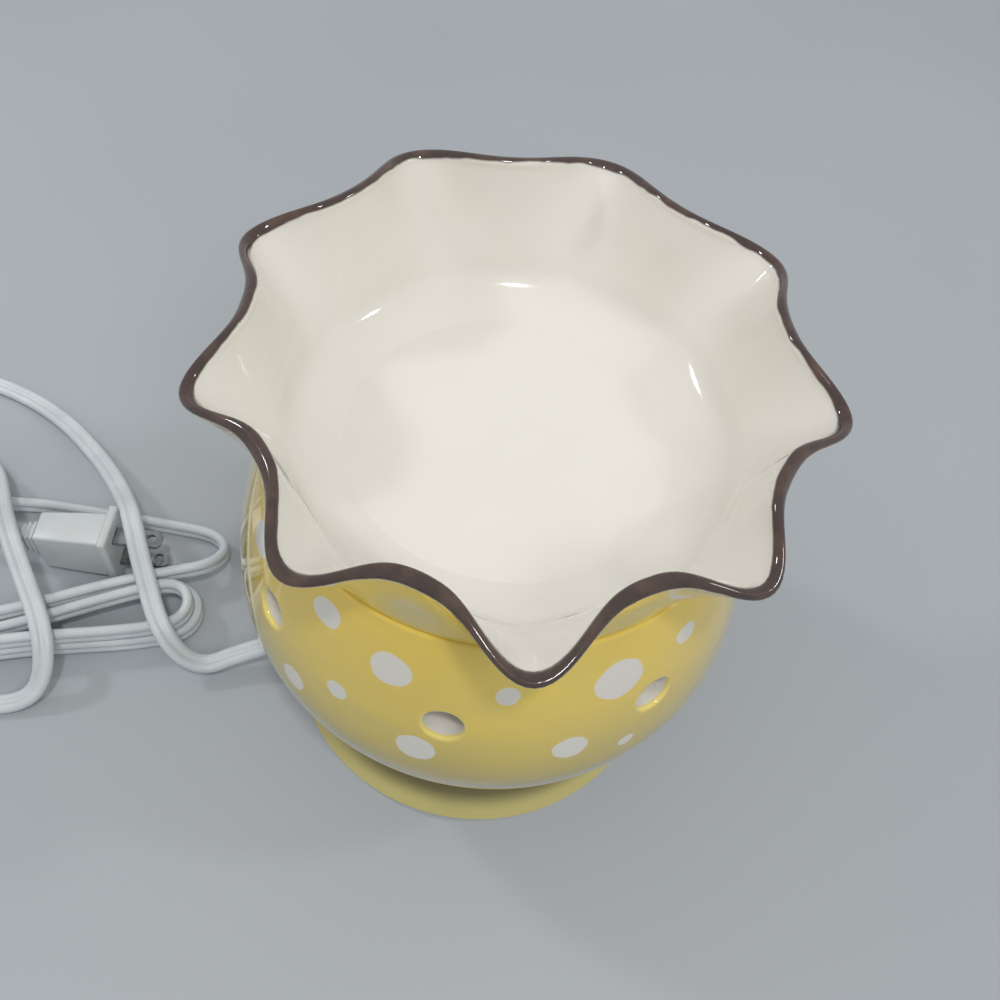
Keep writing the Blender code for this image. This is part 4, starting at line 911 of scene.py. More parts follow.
def dish_profile():
    """From the middle of the floor up the inside, over the rim, and down to the base."""
    lip = bulge(POT_TOP)
    ring = lip - LIP_WIDTH - DISH_RING_PLAY
    wall_foot = ring - DISH_INSET
    low = DISH_FLOOR_TOP + DISH_COVE
    points = [(DISH_FLOOR_R * i / 12, DISH_FLOOR_TOP) for i in range(12)]
    corner = (DISH_FLOOR_R, DISH_FLOOR_TOP)
    points += bent((DISH_FLOOR_R - 0.6 * MM, DISH_FLOOR_TOP), corner, corner,
                   (DISH_FLOOR_R + 0.6 * MM, DISH_FLOOR_TOP + 0.2 * MM), 4)
    points += bent(points[-1], (DISH_FLOOR_R + 5.5 * MM, DISH_FLOOR_TOP + 1.9 * MM),
                   (wall_foot - 2.1 * MM, low - 3.9 * MM), (wall_foot, low), 16)[1:]
    high = RIM_Z - RIM_ROUND
    inner_rim = RIM_R - DISH_WALL / 2
    outer_rim = RIM_R + DISH_WALL / 2
    for share in spread(0.0, 1.0, WALL_ROWS):
        t = share ** ROW_CROWDING
        throw = THROW_RINGS * math.sin(math.tau * 5 * t) * (1 - t) ** 2
        r = wall_foot + (inner_rim - wall_foot) * t
        points.append((r + throw, low + (high - low) * t))
    points += arc((RIM_R, high), RIM_ROUND, 180, 0, 14)[1:]
    outer_foot = lip - LIP_ROUND / 2
    shoulder = DISH_SEAT + RIM_ROUND
    for share in spread(0.0, 1.0, WALL_ROWS):
        t = 1 - (1 - share) ** ROW_CROWDING
        r = outer_rim + (outer_foot - outer_rim) * t - DISH_FLARE * math.sin(math.pi * t)
        points.append((r, high + (shoulder - high) * t))
    base = DISH_SEAT - DISH_RING_DEPTH
    under = max(DISH_FLOOR_TOP - DISH_FLOOR_THICK, base + 0.1 * MM)
    inner_ring = ring - DISH_RING_WIDTH
    points += arc((outer_foot - RIM_ROUND, shoulder), RIM_ROUND, -10, -90, 5)
    points += [(ring + 0.4 * MM, DISH_SEAT), (ring, DISH_SEAT - 0.4 * MM)]
    points += arc((ring - 0.8 * MM, base + 0.8 * MM), 0.8 * MM, 0, -90, 4)
    points += [(inner_ring, base), (inner_ring - 0.1 * MM, under)]
    points += [(inner_ring * (1 - share), under) for share in spread(0.0, 1.0, 8)]
    return points


def from_rim(profile):
    """For each profile point, how far it is from the rim's crest: below 0 on the inside."""
    run = [0.0]
    for a, b in zip(profile, profile[1:]):
        run.append(run[-1] + math.dist(a, b))
    crest = max(range(len(profile)), key=lambda i: profile[i][1])
    return [length - run[crest] for length in run]


def ruffled(point):
    """Where the wave takes a point of the plain bowl."""
    start = POT_TOP + RUFFLE_START
    if point.z <= start:
        return point
    share = (point.z - start) / (RIM_Z - start)
    ease = min(share / RUFFLE_EASE, 1.0)
    fade = share ** RUFFLE_FADE * ease * ease * (3 - 2 * ease)
    spin = math.atan2(point.y, point.x)
    turn = RUFFLES * (spin - RUFFLE_PHASE)
    radius = math.hypot(point.x, point.y)
    front = math.exp(-((spin - RUFFLE_PHASE) / FRONT_SPREAD) ** 2)
    hand = OFFSET.dot(point) / radius - OVAL * math.cos(2 * spin) + FRONT_OUT * front
    out = fade * (RUFFLE_OUT * math.cos(turn) + RUFFLE_SHARP * math.cos(2 * turn) + hand)
    drop = fade * (RUFFLE_DROP * math.cos(turn) + RUFFLE_DROP_SHARP * math.cos(2 * turn)
                   + FRONT_DROP * front)
    grow = (radius + out) / radius
    return Vector((point.x * grow, point.y * grow, point.z - drop))


profile = dish_profile()
dish = turned("dish_glazed", profile, 288)
lengths = from_rim(profile)
rim_gap = dish.data.attributes.new("rim_gap", "FLOAT", "POINT")
for point, gap in zip(dish.data.vertices, rim_gap.data):
    r = math.hypot(point.co.x, point.co.y)
    z = point.co.z
    found = min(range(len(profile)), key=lambda i: abs(profile[i][0] - r) + abs(profile[i][1] - z))
    wave = math.cos(RUFFLES * (math.atan2(point.co.y, point.co.x) - RUFFLE_PHASE))
    gap.value = lengths[found] + (BAND_WAVE * wave if lengths[found] < 0 else 0.0)
for point in dish.data.vertices:
    point.co = ruffled(point.co)
shade(dish, 50.0)
print("dish:", len(dish.data.polygons), "faces")

# %% [markdown]
# ## Cream, brown and yellow on the dish
# The dish was glazed in three colours: cream inside, yellow outside, and a brown band wiped
# along the edge. The bands follow the distance from the rim that each point noted. Noise of a
# few millimetres makes the brush line waver, and the brown thins to a warmer tone in places.

# %% The dish's glaze
BAND_INSIDE = -1.7 * MM
BAND_OUTSIDE = 3.0 * MM
BAND_SOFT = 0.35 * MM

dish_glaze, tree, shader = new_glaze("dish_glaze")
gap = add(tree, "ShaderNodeAttribute", attribute_name="rim_gap").outputs["Fac"]
waver = mapped(tree, noise(tree, 90.0, 2.0), 0.3, 0.7, -0.5 * MM, 0.5 * MM)
gap = worked(tree, "ADD", gap, waver)
past_inner = mapped(tree, gap, BAND_INSIDE - BAND_SOFT, BAND_INSIDE + BAND_SOFT, smooth=True)
past_outer = mapped(tree, gap, BAND_OUTSIDE - BAND_SOFT, BAND_OUTSIDE + BAND_SOFT, smooth=True)
past_line = mapped(tree, gap, BAND_OUTSIDE + 0.8 * MM, BAND_OUTSIDE + 1.8 * MM, smooth=True)
worn = mapped(tree, noise(tree, 160.0, 3.0), 0.45, 0.8)
brown = mixed(tree, worn, srgb(72, 56, 49), srgb(104, 80, 68))
brushed = mapped(tree, noise(tree, 26.0, 4.0), 0.32, 0.68, smooth=True)
outside = mixed(tree, brushed, srgb(240, 212, 102), srgb(228, 204, 110))
outside = mixed(tree, past_line, srgb(238, 222, 150), outside)
colour = mixed(tree, past_inner, cream_tone(tree), brown)
colour = mixed(tree, past_outer, colour, outside)
tree.links.new(colour, shader.inputs["Base Color"])
bump(tree, shader, noise(tree, 60.0, 2.0), 0.05 * MM, 0.4)
dish.data.materials.append(dish_glaze)
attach(dish, "dish")
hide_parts("dish")

# %% [markdown]
# ## Hardware finishes
# Plated steel, brass, rubber, porcelain and the rest are small here, but the dish lifts off
# and shows them. Each is a base colour with a fine noise in its roughness or height: metal
# keeps the marks of drawing and handling, porcelain is smooth, felt is rough.

# %% Hardware finishes
def metal(name, bright, dull, roughness, stretch=(1.0, 1.0, 8.0)):
    """Drawn metal, worn unevenly in its colour and in its shine."""
    made, tree, shader = new_finish(name, metallic=1.0)
    worn = mapped(tree, noise(tree, 220.0, 3.0, stretch), 0.35, 0.7)
    tree.links.new(mixed(tree, worn, bright, dull), shader.inputs["Base Color"])
    rough = mapped(tree, noise(tree, 500.0, 2.0, stretch), 0.3, 0.7, roughness, roughness + 0.18)
    tree.links.new(rough, shader.inputs["Roughness"])
    return made


def grainy(name, light, dark, roughness, scale, depth):
    """A plain material with a grain of its own size and depth."""
    made, tree, shader = new_finish(name, roughness=roughness)
    grain = noise(tree, scale, 3.0)
    tree.links.new(mixed(tree, mapped(tree, grain, 0.35, 0.65), dark, light),
                   shader.inputs["Base Color"])
    bump(tree, shader, grain, depth, 0.7)
    return made


finishes = {
    "plated_steel": metal("plated_steel", srgb(176, 178, 180), srgb(140, 142, 145), 0.22),
    "brass": metal("brass", srgb(214, 178, 104), srgb(170, 132, 70), 0.24),
    "solder": metal("solder", srgb(176, 176, 176), srgb(140, 140, 140), 0.4),
    "tungsten": metal("tungsten", srgb(112, 112, 116), srgb(80, 80, 84), 0.4),
    "black_rubber": grainy("black_rubber", srgb(44, 44, 44), srgb(30, 30, 30), 0.7, 900,
                           0.03 * MM),
    "felt": grainy("grey_felt", srgb(142, 142, 140), srgb(112, 112, 110), 0.95, 2600, 0.2 * MM),
    "fibre_board": grainy("fibre_board", srgb(92, 82, 70), srgb(66, 58, 50), 0.85, 900, 0.06 * MM),
    "porcelain": grainy("porcelain", srgb(240, 238, 230), srgb(230, 227, 218), 0.25, 60,
                        0.02 * MM),
    "dark_glass": grainy("dark_glass", srgb(34, 30, 34), srgb(22, 20, 24), 0.12, 200, 0.01 * MM),
    "white_vinyl": lead_vinyl,
    "white_plastic": moulded_white,
    "tie_skin": moulded_white,
}
clear_glass, tree, shader = new_finish("clear_glass", roughness=0.02, transmission_weight=1.0)
shader.inputs["IOR"].default_value = 1.45
shader.inputs["Base Color"].default_value = (0.97, 0.98, 0.98, 1.0)
finishes["clear_glass"] = clear_glass
slots = {row["node"]: row["material_slot"] for row in frame["record"]["subparts"]}
for name, node in nodes.items():
    if slots.get(name) in finishes:
        node.data.materials.clear()
        node.data.materials.append(finishes[slots[name]])

# %% [markdown]
# ## Shaping blocks
# The plug and the switch are moulded in boxy forms. One helper adds a cube at its real
# corners. Another draws a face out along X and changes its size at each step, the way the
# plug narrows from its flange to its strain relief. Bevels come last, because a moulded edge
# is never sharp and catches a line of light.

# %% Block helpers
def block(name, low, high):
    fresh_start()
    low, high = Vector(low), Vector(high)
    bpy.ops.mesh.primitive_cube_add(size=1.0, location=(low + high) / 2)
    made = bpy.context.object
    made.name = name
    made.scale = high - low
    bpy.ops.object.transform_apply(location=True, rotation=False, scale=True)
    return made


def drawn_out(name, sections):
    """A closed shape through (x, half width, half height) sections in mm, face by face."""
    x, wide, tall = (value * MM for value in sections[0])
    fresh_start()
    bpy.ops.mesh.primitive_plane_add(size=2.0, location=(x, 0.0, 0.0),
                                     rotation=(0.0, math.pi / 2, 0.0))
    made = bpy.context.object
    made.name = name
    made.scale = (tall, wide, 1.0)
    bpy.ops.object.transform_apply(location=True, rotation=True, scale=True)
    bpy.ops.object.mode_set(mode="EDIT")
    bpy.ops.mesh.select_mode(type="VERT")
    bpy.ops.mesh.select_all(action="SELECT")
    for section in sections[1:]:
        next_x, next_wide, next_tall = (value * MM for value in section)
        bpy.ops.mesh.extrude_region_move(
            TRANSFORM_OT_translate={"value": (next_x - x, 0.0, 0.0)})
        bpy.ops.transform.resize(value=(1.0, next_wide / wide, next_tall / tall),
                                 center_override=(next_x, 0.0, 0.0))
        x, wide, tall = next_x, next_wide, next_tall
    bpy.ops.mesh.select_all(action="SELECT")
    bpy.ops.mesh.normals_make_consistent(inside=False)
    bpy.ops.object.mode_set(mode="OBJECT")
    return made


def bevelled(piece, width, segments=3, angle=30.0):
    step = piece.modifiers.new("edges", "BEVEL")
    step.width = width
    step.segments = segments
    step.limit_method = "ANGLE"
    step.angle_limit = math.radians(angle)
    apply_all(piece)
    return piece


def copy_of(piece, name, matrix):
    made = piece.copy()
    made.data = piece.data.copy()
    made.name = name
    bpy.context.scene.collection.objects.link(made)
    return placed(made, matrix)


def dressed(piece, body, slot, *stands_for, angle=35.0):
    """The last steps for a piece: shading, finish, body, and the nodes it stands for."""
    shade(piece, angle)
    piece.data.materials.clear()
    piece.data.materials.append(finishes[slot])
    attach(piece, body)
    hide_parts(*stands_for)
    print(piece.name + ":", len(piece.data.polygons), "faces")
    return piece


# %% [markdown]
# ## The plug
# The plug is one soft moulding: a wide flange that stops the fingers, a grip that narrows
# towards the back, and a strain relief cut into rings so that it can bend. It is drawn out in
# one go from the flange, and its slots for the blades are cut right through the front. The
# blades are plated strips with a hole near the tip, and their tips are thinned on all sides.

# %% The plug
GRIP = ((0.0, 8.5, 12.8), (-3.0, 8.5, 12.8), (-3.0, 6.5, 10.5), (-14.0, 6.1, 9.9),
        (-26.0, 5.5, 9.0))  # x from the flange's face, half width and half height, in mm
RELIEF_START, RELIEF_END = (-24.0, 3.75, 5.5), (-35.0, 2.45, 4.1)
RELIEF_RINGS = 4
RINGS_FROM, RINGS_TO = -26.8, -34.2
RING_DEEP = 0.55
BLADE = ((-9.0, 3.15, 0.75), (14.6, 3.15, 0.75), (16.0, 2.0, 0.4))
BLADE_Z = 6.35 * MM
BLADE_HOLE_X = 12.4 * MM
BLADE_HOLE_R = 1.6 * MM
SLOT_PLAY = 0.3 * MM

plug_place = Matrix.Translation(PLUG_FACE) @ Matrix.Rotation(PLUG_ANGLE, 4, "Z")
grip = bevelled(drawn_out("plug_moulded", GRIP), 1.0 * MM, 5)
rings = [RELIEF_START]
for i in range(RELIEF_RINGS):
    for along, deep in ((0.0, 0.0), (0.0, RING_DEEP), (0.45, RING_DEEP), (0.45, 0.0)):
        share = (i + along) / RELIEF_RINGS
        x = RINGS_FROM + (RINGS_TO - RINGS_FROM) * share
        wide, tall = (start + (end - start) * share - deep
                      for start, end in zip(RELIEF_START[1:], RELIEF_END[1:]))
        rings.append((x, wide, tall))
relief = bevelled(drawn_out("relief", rings + [RELIEF_END]), 0.18 * MM, 3)
slot_size = Vector([abs(value) * MM + SLOT_PLAY for value in BLADE[0]])
for side in (1, -1):
    slot_middle = UP * BLADE_Z * side
    cut_away(grip, block("slot", slot_middle - slot_size, slot_middle + slot_size))
plug = joined([grip, relief])
dressed(placed(plug, plug_place), "base", "white_plastic", "plug_body")

blade = drawn_out("blade_1", BLADE)
hole = rod("hole", BLADE_HOLE_R, MM, -MM, 40)
cut_away(blade, placed(hole, Matrix.Translation((BLADE_HOLE_X, 0.0, 0.0))))
bevelled(blade, 0.22 * MM, 3)
other = copy_of(blade, "blade_2", plug_place @ Matrix.Translation((0.0, 0.0, -BLADE_Z)))
placed(blade, plug_place @ Matrix.Translation((0.0, 0.0, BLADE_Z)))
dressed(blade, "base", "plated_steel", "plug_blade_1")
dressed(other, "base", "plated_steel", "plug_blade_2")

# %% [markdown]
# ## The switch
# An in-line switch is two shells screwed together round the lead, with a rocker in a window.
# Each shell is a block whose ends are drawn in. Its upright corners and its outer rim are
# rounded with edit-mode bevels of their own sizes. The room inside, the window, the lead's way
# in, and the finger grooves are cut next, and one small bevel takes every edge they leave.

# %% The switch's shells
HALF_LONG, HALF_WIDE = 29.0 * MM, 12.5 * MM
SHELL_HIGH = 8.6 * MM
SHELL_WALL = 2.2 * MM
TAPER_FROM = 19.0 * MM
END_SHARE = 14.0 / 25.0
PARTING = SHELL_HIGH + CLEAR / 2
ROOM_HALF_LONG = 17.0 * MM
WAY_PLAY = 0.2 * MM
GROOVE_R = 0.8 * MM
GROOVE_PITCH = 3.2 * MM
GROOVES = 9
SCREW_PLACES = ((22.5 * MM, -6.0 * MM), (-22.5 * MM, 6.0 * MM))
SINK = ((0.0, -1.0), (2.9, -1.0), (2.9, 2.2), (1.7, 2.2), (1.7, 7.5), (0.0, 7.5))  # in mm


def switch_shell(name, low, high, outward, openings):
    """Half of the case, with its own openings, which the grooves must come after."""
    shell = block(name, (-HALF_LONG, -HALF_WIDE, low), (HALF_LONG, HALF_WIDE, high))
    for x in (TAPER_FROM, -TAPER_FROM):
        edit(shell, "FACE", lambda face: True)
        bpy.ops.mesh.bisect(plane_co=(x, 0.0, 0.0), plane_no=(1.0, 0.0, 0.0))
    edit(shell, "FACE", lambda face: abs(face.normal.x) > 0.9)
    bpy.ops.transform.resize(value=(1.0, END_SHARE, 1.0), center_override=(0.0, 0.0, 0.0))
    edit(shell, "EDGE", lambda edge: abs(edge.verts[0].co.z - edge.verts[1].co.z) > MM)
    bpy.ops.mesh.bevel(offset=2.0 * MM, segments=4, affect="EDGES")
    edit(shell, "FACE", lambda face: face.normal.z * outward > 0.9)
    bpy.ops.mesh.region_to_loop()
    bpy.ops.mesh.bevel(offset=1.8 * MM, segments=5, affect="EDGES")
    bpy.ops.object.mode_set(mode="OBJECT")
    middle = UP * PARTING
    half_room = Vector((ROOM_HALF_LONG, HALF_WIDE - SHELL_WALL, PARTING - SHELL_WALL))
    cut_away(shell, bevelled(block("room", middle - half_room, middle + half_room), MM, 3))
    half_way = Vector((1.1 * HALF_LONG, LEAD_WIDE / 2 + WAY_PLAY, LEAD_THICK / 2 + WAY_PLAY))
    cut_away(shell, bevelled(block("way", middle - half_way, middle + half_way), 1.6 * MM, 4))
    for opening in openings:
        cut_away(shell, opening)
    grooves = []
    for i in range(GROOVES):
        for side in (1, -1):
            spot = ((i - GROOVES // 2) * GROOVE_PITCH, side * (HALF_WIDE + 0.35 * MM), 0.0)
            groove = rod("groove", GROOVE_R, -MM, 20 * MM, 16)
            grooves.append(placed(groove, Matrix.Translation(spot)))
    cut_away(shell, joined(grooves))
    return shell


switch_place = Matrix.Translation(SWITCH_MIDDLE)
window = block("window", (-9.5 * MM, -5.5 * MM, 12 * MM), (9.5 * MM, 5.5 * MM, 20 * MM))
cover = switch_shell("switch_upper", SHELL_HIGH + CLEAR, 2 * SHELL_HIGH + CLEAR, 1,
                     [bevelled(window, 0.8 * MM, 3)])
sinks = [placed(turned("sink", in_mm(SINK), 32), Matrix.Translation((x, y, 0.0)))
         for x, y in SCREW_PLACES]
shell = switch_shell("switch_lower", 0.0, SHELL_HIGH, -1, sinks)
for half, node in ((cover, "switch_cover"), (shell, "switch_base")):
    bevelled(half, 0.25 * MM, 2, 40.0)
    dressed(placed(half, switch_place), "base", "white_plastic", node)

# %% [markdown]
# The rocker pivots under its own top, so it is a low roof with a ridge over the pin and a
# narrower heel below, which presses the contacts. Three fine grooves tell its two ends apart
# by touch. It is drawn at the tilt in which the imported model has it, which is off. Each screw
# is turned and gets a crossed recess.

# %% The rocker and the screws
ROCKER_TILT = math.radians(10.0)
PIVOT = UP * 14.0 * MM
ROCKER_HALF_LONG, ROCKER_HALF_WIDE = 8.5 * MM, 5.0 * MM
ROCKER_TOP = 3.9 * MM
ROCKER_RIDGE = 0.6 * MM
HEEL_HALF_LONG, HEEL_DEEP = 3.0 * MM, 3.0 * MM
SCREW_HEAD = ((0.0, 0.3), (1.9, 0.3), (2.4, 0.6), (2.6, 1.1), (2.6, 1.9), (1.4, 1.9))  # in mm
SCREW_TIP = (0.0, 13.9)
RECESS_DEEP = 1.2 * MM

rocker = block("rocker", (-ROCKER_HALF_LONG, -ROCKER_HALF_WIDE, 0.0),
               (ROCKER_HALF_LONG, ROCKER_HALF_WIDE, ROCKER_TOP))
edit(rocker, "FACE", lambda face: True)
bpy.ops.mesh.bisect(plane_co=(0.0, 0.0, 0.0), plane_no=(1.0, 0.0, 0.0))
edit(rocker, "EDGE", lambda edge: all(abs(v.co.x) < 0.1 * MM and v.co.z > MM for v in edge.verts))
bpy.ops.transform.translate(value=(0.0, 0.0, ROCKER_RIDGE))
edit(rocker, "FACE", lambda face: face.normal.z < -0.9)
bpy.ops.mesh.extrude_region_move(TRANSFORM_OT_translate={"value": (0.0, 0.0, -HEEL_DEEP)})
bpy.ops.transform.resize(value=(HEEL_HALF_LONG / ROCKER_HALF_LONG, 1.0, 1.0),
                         center_override=(0.0, 0.0, 0.0))
bpy.ops.object.mode_set(mode="OBJECT")
crosswise = Matrix.Rotation(math.pi / 2, 4, "X")
touch = []
for i in range(3):
    spot = Matrix.Translation(((-6.6 + 1.2 * i) * MM, 0.0, (3.95 + 0.09 * i) * MM))
    touch.append(placed(rod("mark", 0.35 * MM, -4 * MM, 4 * MM, 12), spot @ crosswise))
cut_away(rocker, joined(touch))
cut_away(rocker, placed(rod("bore", 1.3 * MM, -6 * MM, 6 * MM, 32), crosswise))
bevelled(rocker, 0.3 * MM, 3, 35.0)
placed(rocker, switch_place @ Matrix.Translation(PIVOT) @ Matrix.Rotation(ROCKER_TILT, 4, "Y"))
dressed(rocker, "rocker", "white_plastic", "switch_rocker")

shaft = [(1.4 - 0.35 * (i % 2), 2.2 + 0.4 * i) for i in range(28)]
screw = turned("case_screw_1", in_mm([*SCREW_HEAD, *shaft, SCREW_TIP]), 24)
for cross in in_mm([(1.5, 0.35, 0.0), (0.35, 1.5, 0.0)]):
    cut_away(screw, block("recess", -cross, cross + UP * RECESS_DEEP))
spots = [switch_place @ Matrix.Translation((x, y, 0.0)) for x, y in SCREW_PLACES]
second = copy_of(screw, "case_screw_2", spots[1])
dressed(placed(screw, spots[0]), "base", "plated_steel", "switch_screw_1")
dressed(second, "base", "plated_steel", "switch_screw_2")

# %% [markdown]
# ## Sleeve, tie and wires
# Where the lead leaves the foot, a tapered sleeve with rings keeps it from bending sharply.
# The hank is held by a paper-thin wire tie: a round wire with a flat wing on each side, whose
# ends are twisted together on top. Inside the foot the lead runs on to the middle, where its
# two wires part and climb through the threaded tube to the socket. All of these follow a line,
# so the lead's own sweep makes them, each with its own outline.

# %% Sleeve
SLEEVE_BACK = 11.0 * MM
SLEEVE_RINGS = 5
NOSE_ROUND = 0.8 * MM

back = foot(EXIT_Z) - SLEEVE_BACK
collar = foot(EXIT_Z) + 2.0 * MM
nose = SLEEVE_END
sleeve_profile = [(0.0, back), (SLEEVE_R - 0.4 * MM, back), (SLEEVE_R, back + 0.4 * MM),
                  (SLEEVE_R, collar)]
for i in range(SLEEVE_RINGS):
    for along, deep in ((0.10, 0.0), (0.22, 0.6), (0.60, 0.6), (0.72, 0.0)):
        share = (i + along) / SLEEVE_RINGS
        radius = SLEEVE_R + (SLEEVE_NOSE_R - SLEEVE_R) * share - deep * MM
        sleeve_profile.append((radius, collar + (nose - NOSE_ROUND - collar) * share))
sleeve_profile += arc((SLEEVE_NOSE_R - NOSE_ROUND, nose - NOSE_ROUND), NOSE_ROUND, 0, 90, 5)
sleeve = turned("sleeve", sleeve_profile + [(0.0, nose)], 64)
bore = rod("bore", LEAD_WIDE / 2 + CLEAR, back - MM, nose + MM, 48)
squeeze = (LEAD_THICK / 2 + CLEAR) / (LEAD_WIDE / 2 + CLEAR)
cut_away(sleeve, placed(bore, Matrix.Scale(squeeze, 4, (1.0, 0.0, 0.0))))
dressed(placed(sleeve, exit_matrix), "base", "white_plastic", "cord_bushing")

# %% Tie and wires
TIE_WIRE = 0.6 * MM
TIE_CORNER = 2.0 * MM
TWIST_TURNS, TWIST_HIGH, TWIST_STEPS = 1.5, 12.0 * MM, 36
PART_AT = 19.0 * MM  # from the middle, where the two wires part
WIRE_OUT = 1.4 * MM  # from the middle of the tube to each wire
RIVET_X = 5.0 * MM  # the shell's rivet; the other wire goes to the middle


def round_section(radius, count):
    """The outline of a round wire."""
    return [(radius * math.cos(math.tau * i / count), radius * math.sin(math.tau * i / count))
            for i in range(count)]


waist = [p - HANK_MIDDLE for p in hank
         if abs((p - HANK_MIDDLE).dot(HANK_WAY)) < HANK_HALF_RUN / 4]
reach = TIE_WIRE + CLEAR + LEAD_THICK / 2
left = min(p.dot(HANK_SIDE) for p in waist) - reach
right = max(p.dot(HANK_SIDE) for p in waist) + reach
top = max(p.z for p in waist) + LEAD_WIDE / 2 + CLEAR + TIE_WIRE
low = TIE_WIRE + TABLE_GAP
middle = (left + right) / 2
wind = TIE_WIRE + CLEAR
twist = []
for i in range(TWIST_STEPS + 1):
    a = math.tau * TWIST_TURNS * i / TWIST_STEPS
    twist.append((wind * math.sin(a), wind * math.cos(a), TWIST_HIGH * i / TWIST_STEPS))
corners = ((left, top, 90, 180), (left, low, 180, 270), (right, low, 270, 360),
           (right, top, 0, 90))
tie_path = [(x, middle - y, top + TIE_CORNER + z) for x, y, z in reversed(twist)]
for side, level, start, end in corners:
    centre = (side + math.copysign(TIE_CORNER, -side + middle),
              level + math.copysign(TIE_CORNER, (top + low) / 2 - level))
    tie_path += [(0.0, y, z) for y, z in arc(centre, TIE_CORNER, start, end, 6)]
tie_path += [(-x, middle + y, top + TIE_CORNER + z) for x, y, z in twist]
tie_line = relaxed(evenly([HANK_MIDDLE + HANK_WAY * x + HANK_SIDE * y + UP * z
                           for x, y, z in tie_path], 0.6 * MM), 2)
tie = swept("wire_tie", tie_line, round_section(TIE_WIRE, 10))
dressed(tie, "base", "tie_skin", "twist_tie")

split = EXIT_WAY * PART_AT + UP * EXIT_Z
inner_line = evenly([EXIT_WAY * (SLEEVE_END - 4 * MM) + UP * EXIT_Z, split], LEAD_STEP)
inner = swept("lead_inside", inner_line, lead_section(), [0.0] * len(inner_line))
dressed(inner, "base", "white_vinyl", "cord_inner")
for name, node, side, x in (("wire_1", "wire_live", -1, 0.0),
                            ("wire_2", "wire_neutral", 1, RIVET_X)):
    off = EXIT_WAY.cross(UP) * side * WIRE_OUT
    rivet = Vector((x, 0.0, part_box(node)[1].z))
    route = [split + off - EXIT_WAY * CLEAR, split + off - EXIT_WAY * 5 * MM - UP * MM,
             EXIT_WAY * 7 * MM + off + UP * 8 * MM, EXIT_WAY * 1.2 * MM + off + UP * 10.2 * MM,
             off + UP * 14.2 * MM, off + UP * 30.2 * MM,
             Vector((x * 0.7, 0.0, 33.7 * MM)) + off, rivet - UP * 1.2 * MM, rivet]
    wire = swept(name, smooth_route(route, 1.2 * MM), round_section(MM, 14))
    dressed(wire, "base", "white_vinyl", node)

# %% [markdown]
# ## The socket and the bulb
# The socket is a porcelain cap and barrel round a rolled brass shell, and the bulb screws
# into the shell. Both threads are true helices: a straight wall is turned with many rings,
# and each point then moves in or out by a wave that climbs one pitch per turn. The glass is a
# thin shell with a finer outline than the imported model's, and a bent wire glows in it.

# %% Threads
PITCH = 2.54 * MM


def threaded(piece, low, high, depth, start_r, end_r=1.0):
    """Moves the wall between two heights in or out by a wave that climbs with the turn."""
    for point in piece.data.vertices:
        radius = math.hypot(point.co.x, point.co.y)
        if radius < start_r or radius > end_r or not low <= point.co.z <= high:
            continue
        fade = min((point.co.z - low) / PITCH, (high - point.co.z) / PITCH, 1.0)
        turn = math.atan2(point.co.y, point.co.x) / math.tau
        wave = math.sin(math.tau * (point.co.z / PITCH - turn))
        grow = 1 + fade * depth * wave / radius
        point.co.x *= grow
        point.co.y *= grow
    piece.data.update()
    return piece


def wall_up(radius, low, high, step):
    """Points up a straight wall, close enough for a thread."""
    count = round((high - low) / step)
    return [(radius, low + (high - low) * i / count) for i in range(count + 1)]


# %% The socket
SOCKET_R = 13.5 * MM
CAP_LOW, CAP_TOP = 27.2 * MM, 39.2 * MM
BARREL_LOW, BARREL_TOP = 39.5 * MM, 64.5 * MM
WELL = 43.1 * MM
SHELL_LOW, SHELL_TOP = 43.4 * MM, 60.4 * MM
SHELL_IN, SHELL_OUT = 6.25 * MM, 6.85 * MM
INNER_R = 11.3 * MM

cap_outer = arc((SOCKET_R - MM, CAP_LOW + MM), MM, -90, 0, 5)
cap_outer += [(SOCKET_R, CAP_LOW + 4 * MM), (SOCKET_R - 0.5 * MM, CAP_LOW + 4.4 * MM),
              (SOCKET_R - 0.5 * MM, CAP_LOW + 5.2 * MM), (SOCKET_R, CAP_LOW + 5.6 * MM)]
cap_outer += arc((SOCKET_R - 0.5 * MM, CAP_TOP - 0.5 * MM), 0.5 * MM, 0, 90, 4)
cap_inner = [(INNER_R, CAP_TOP), (INNER_R, CAP_LOW + 3 * MM), (TUBE_HOLE, CAP_LOW + 3 * MM),
             (TUBE_HOLE, CAP_LOW)]
cap = turned("socket_cap_glazed", cap_outer + cap_inner, 72, ring=True)
dressed(cap, "base", "porcelain", "socket_cap")

barrel_outer = [(0.0, BARREL_LOW)] + arc((SOCKET_R - 0.5 * MM, BARREL_LOW + 0.5 * MM), 0.5 * MM,
                                         -90, 0, 4)
for z in (BARREL_LOW + 7 * MM, BARREL_TOP - 6 * MM):
    barrel_outer += [(SOCKET_R, z), (SOCKET_R - 0.6 * MM, z + 0.5 * MM),
                     (SOCKET_R - 0.6 * MM, z + 1.3 * MM), (SOCKET_R, z + 1.8 * MM)]
barrel_outer += arc((SOCKET_R - 1.5 * MM, BARREL_TOP - 1.5 * MM), 1.5 * MM, 0, 90, 7)
bore_r = SHELL_OUT + CLEAR
barrel_inner = arc((bore_r + 0.8 * MM, BARREL_TOP - 0.8 * MM), 0.8 * MM, 90, 180, 5)
barrel_inner += [(bore_r, WELL), (0.0, WELL)]
barrel = turned("socket_barrel_glazed", barrel_outer + barrel_inner, 72)
for x in (0.0, RIVET_X):
    rivet_hole = rod("rivet_hole", 1.4 * MM, BARREL_LOW - MM, WELL + MM, 24)
    cut_away(barrel, placed(rivet_hole, Matrix.Translation((x, 0.0, 0.0))))
dressed(barrel, "base", "porcelain", "socket_barrel")

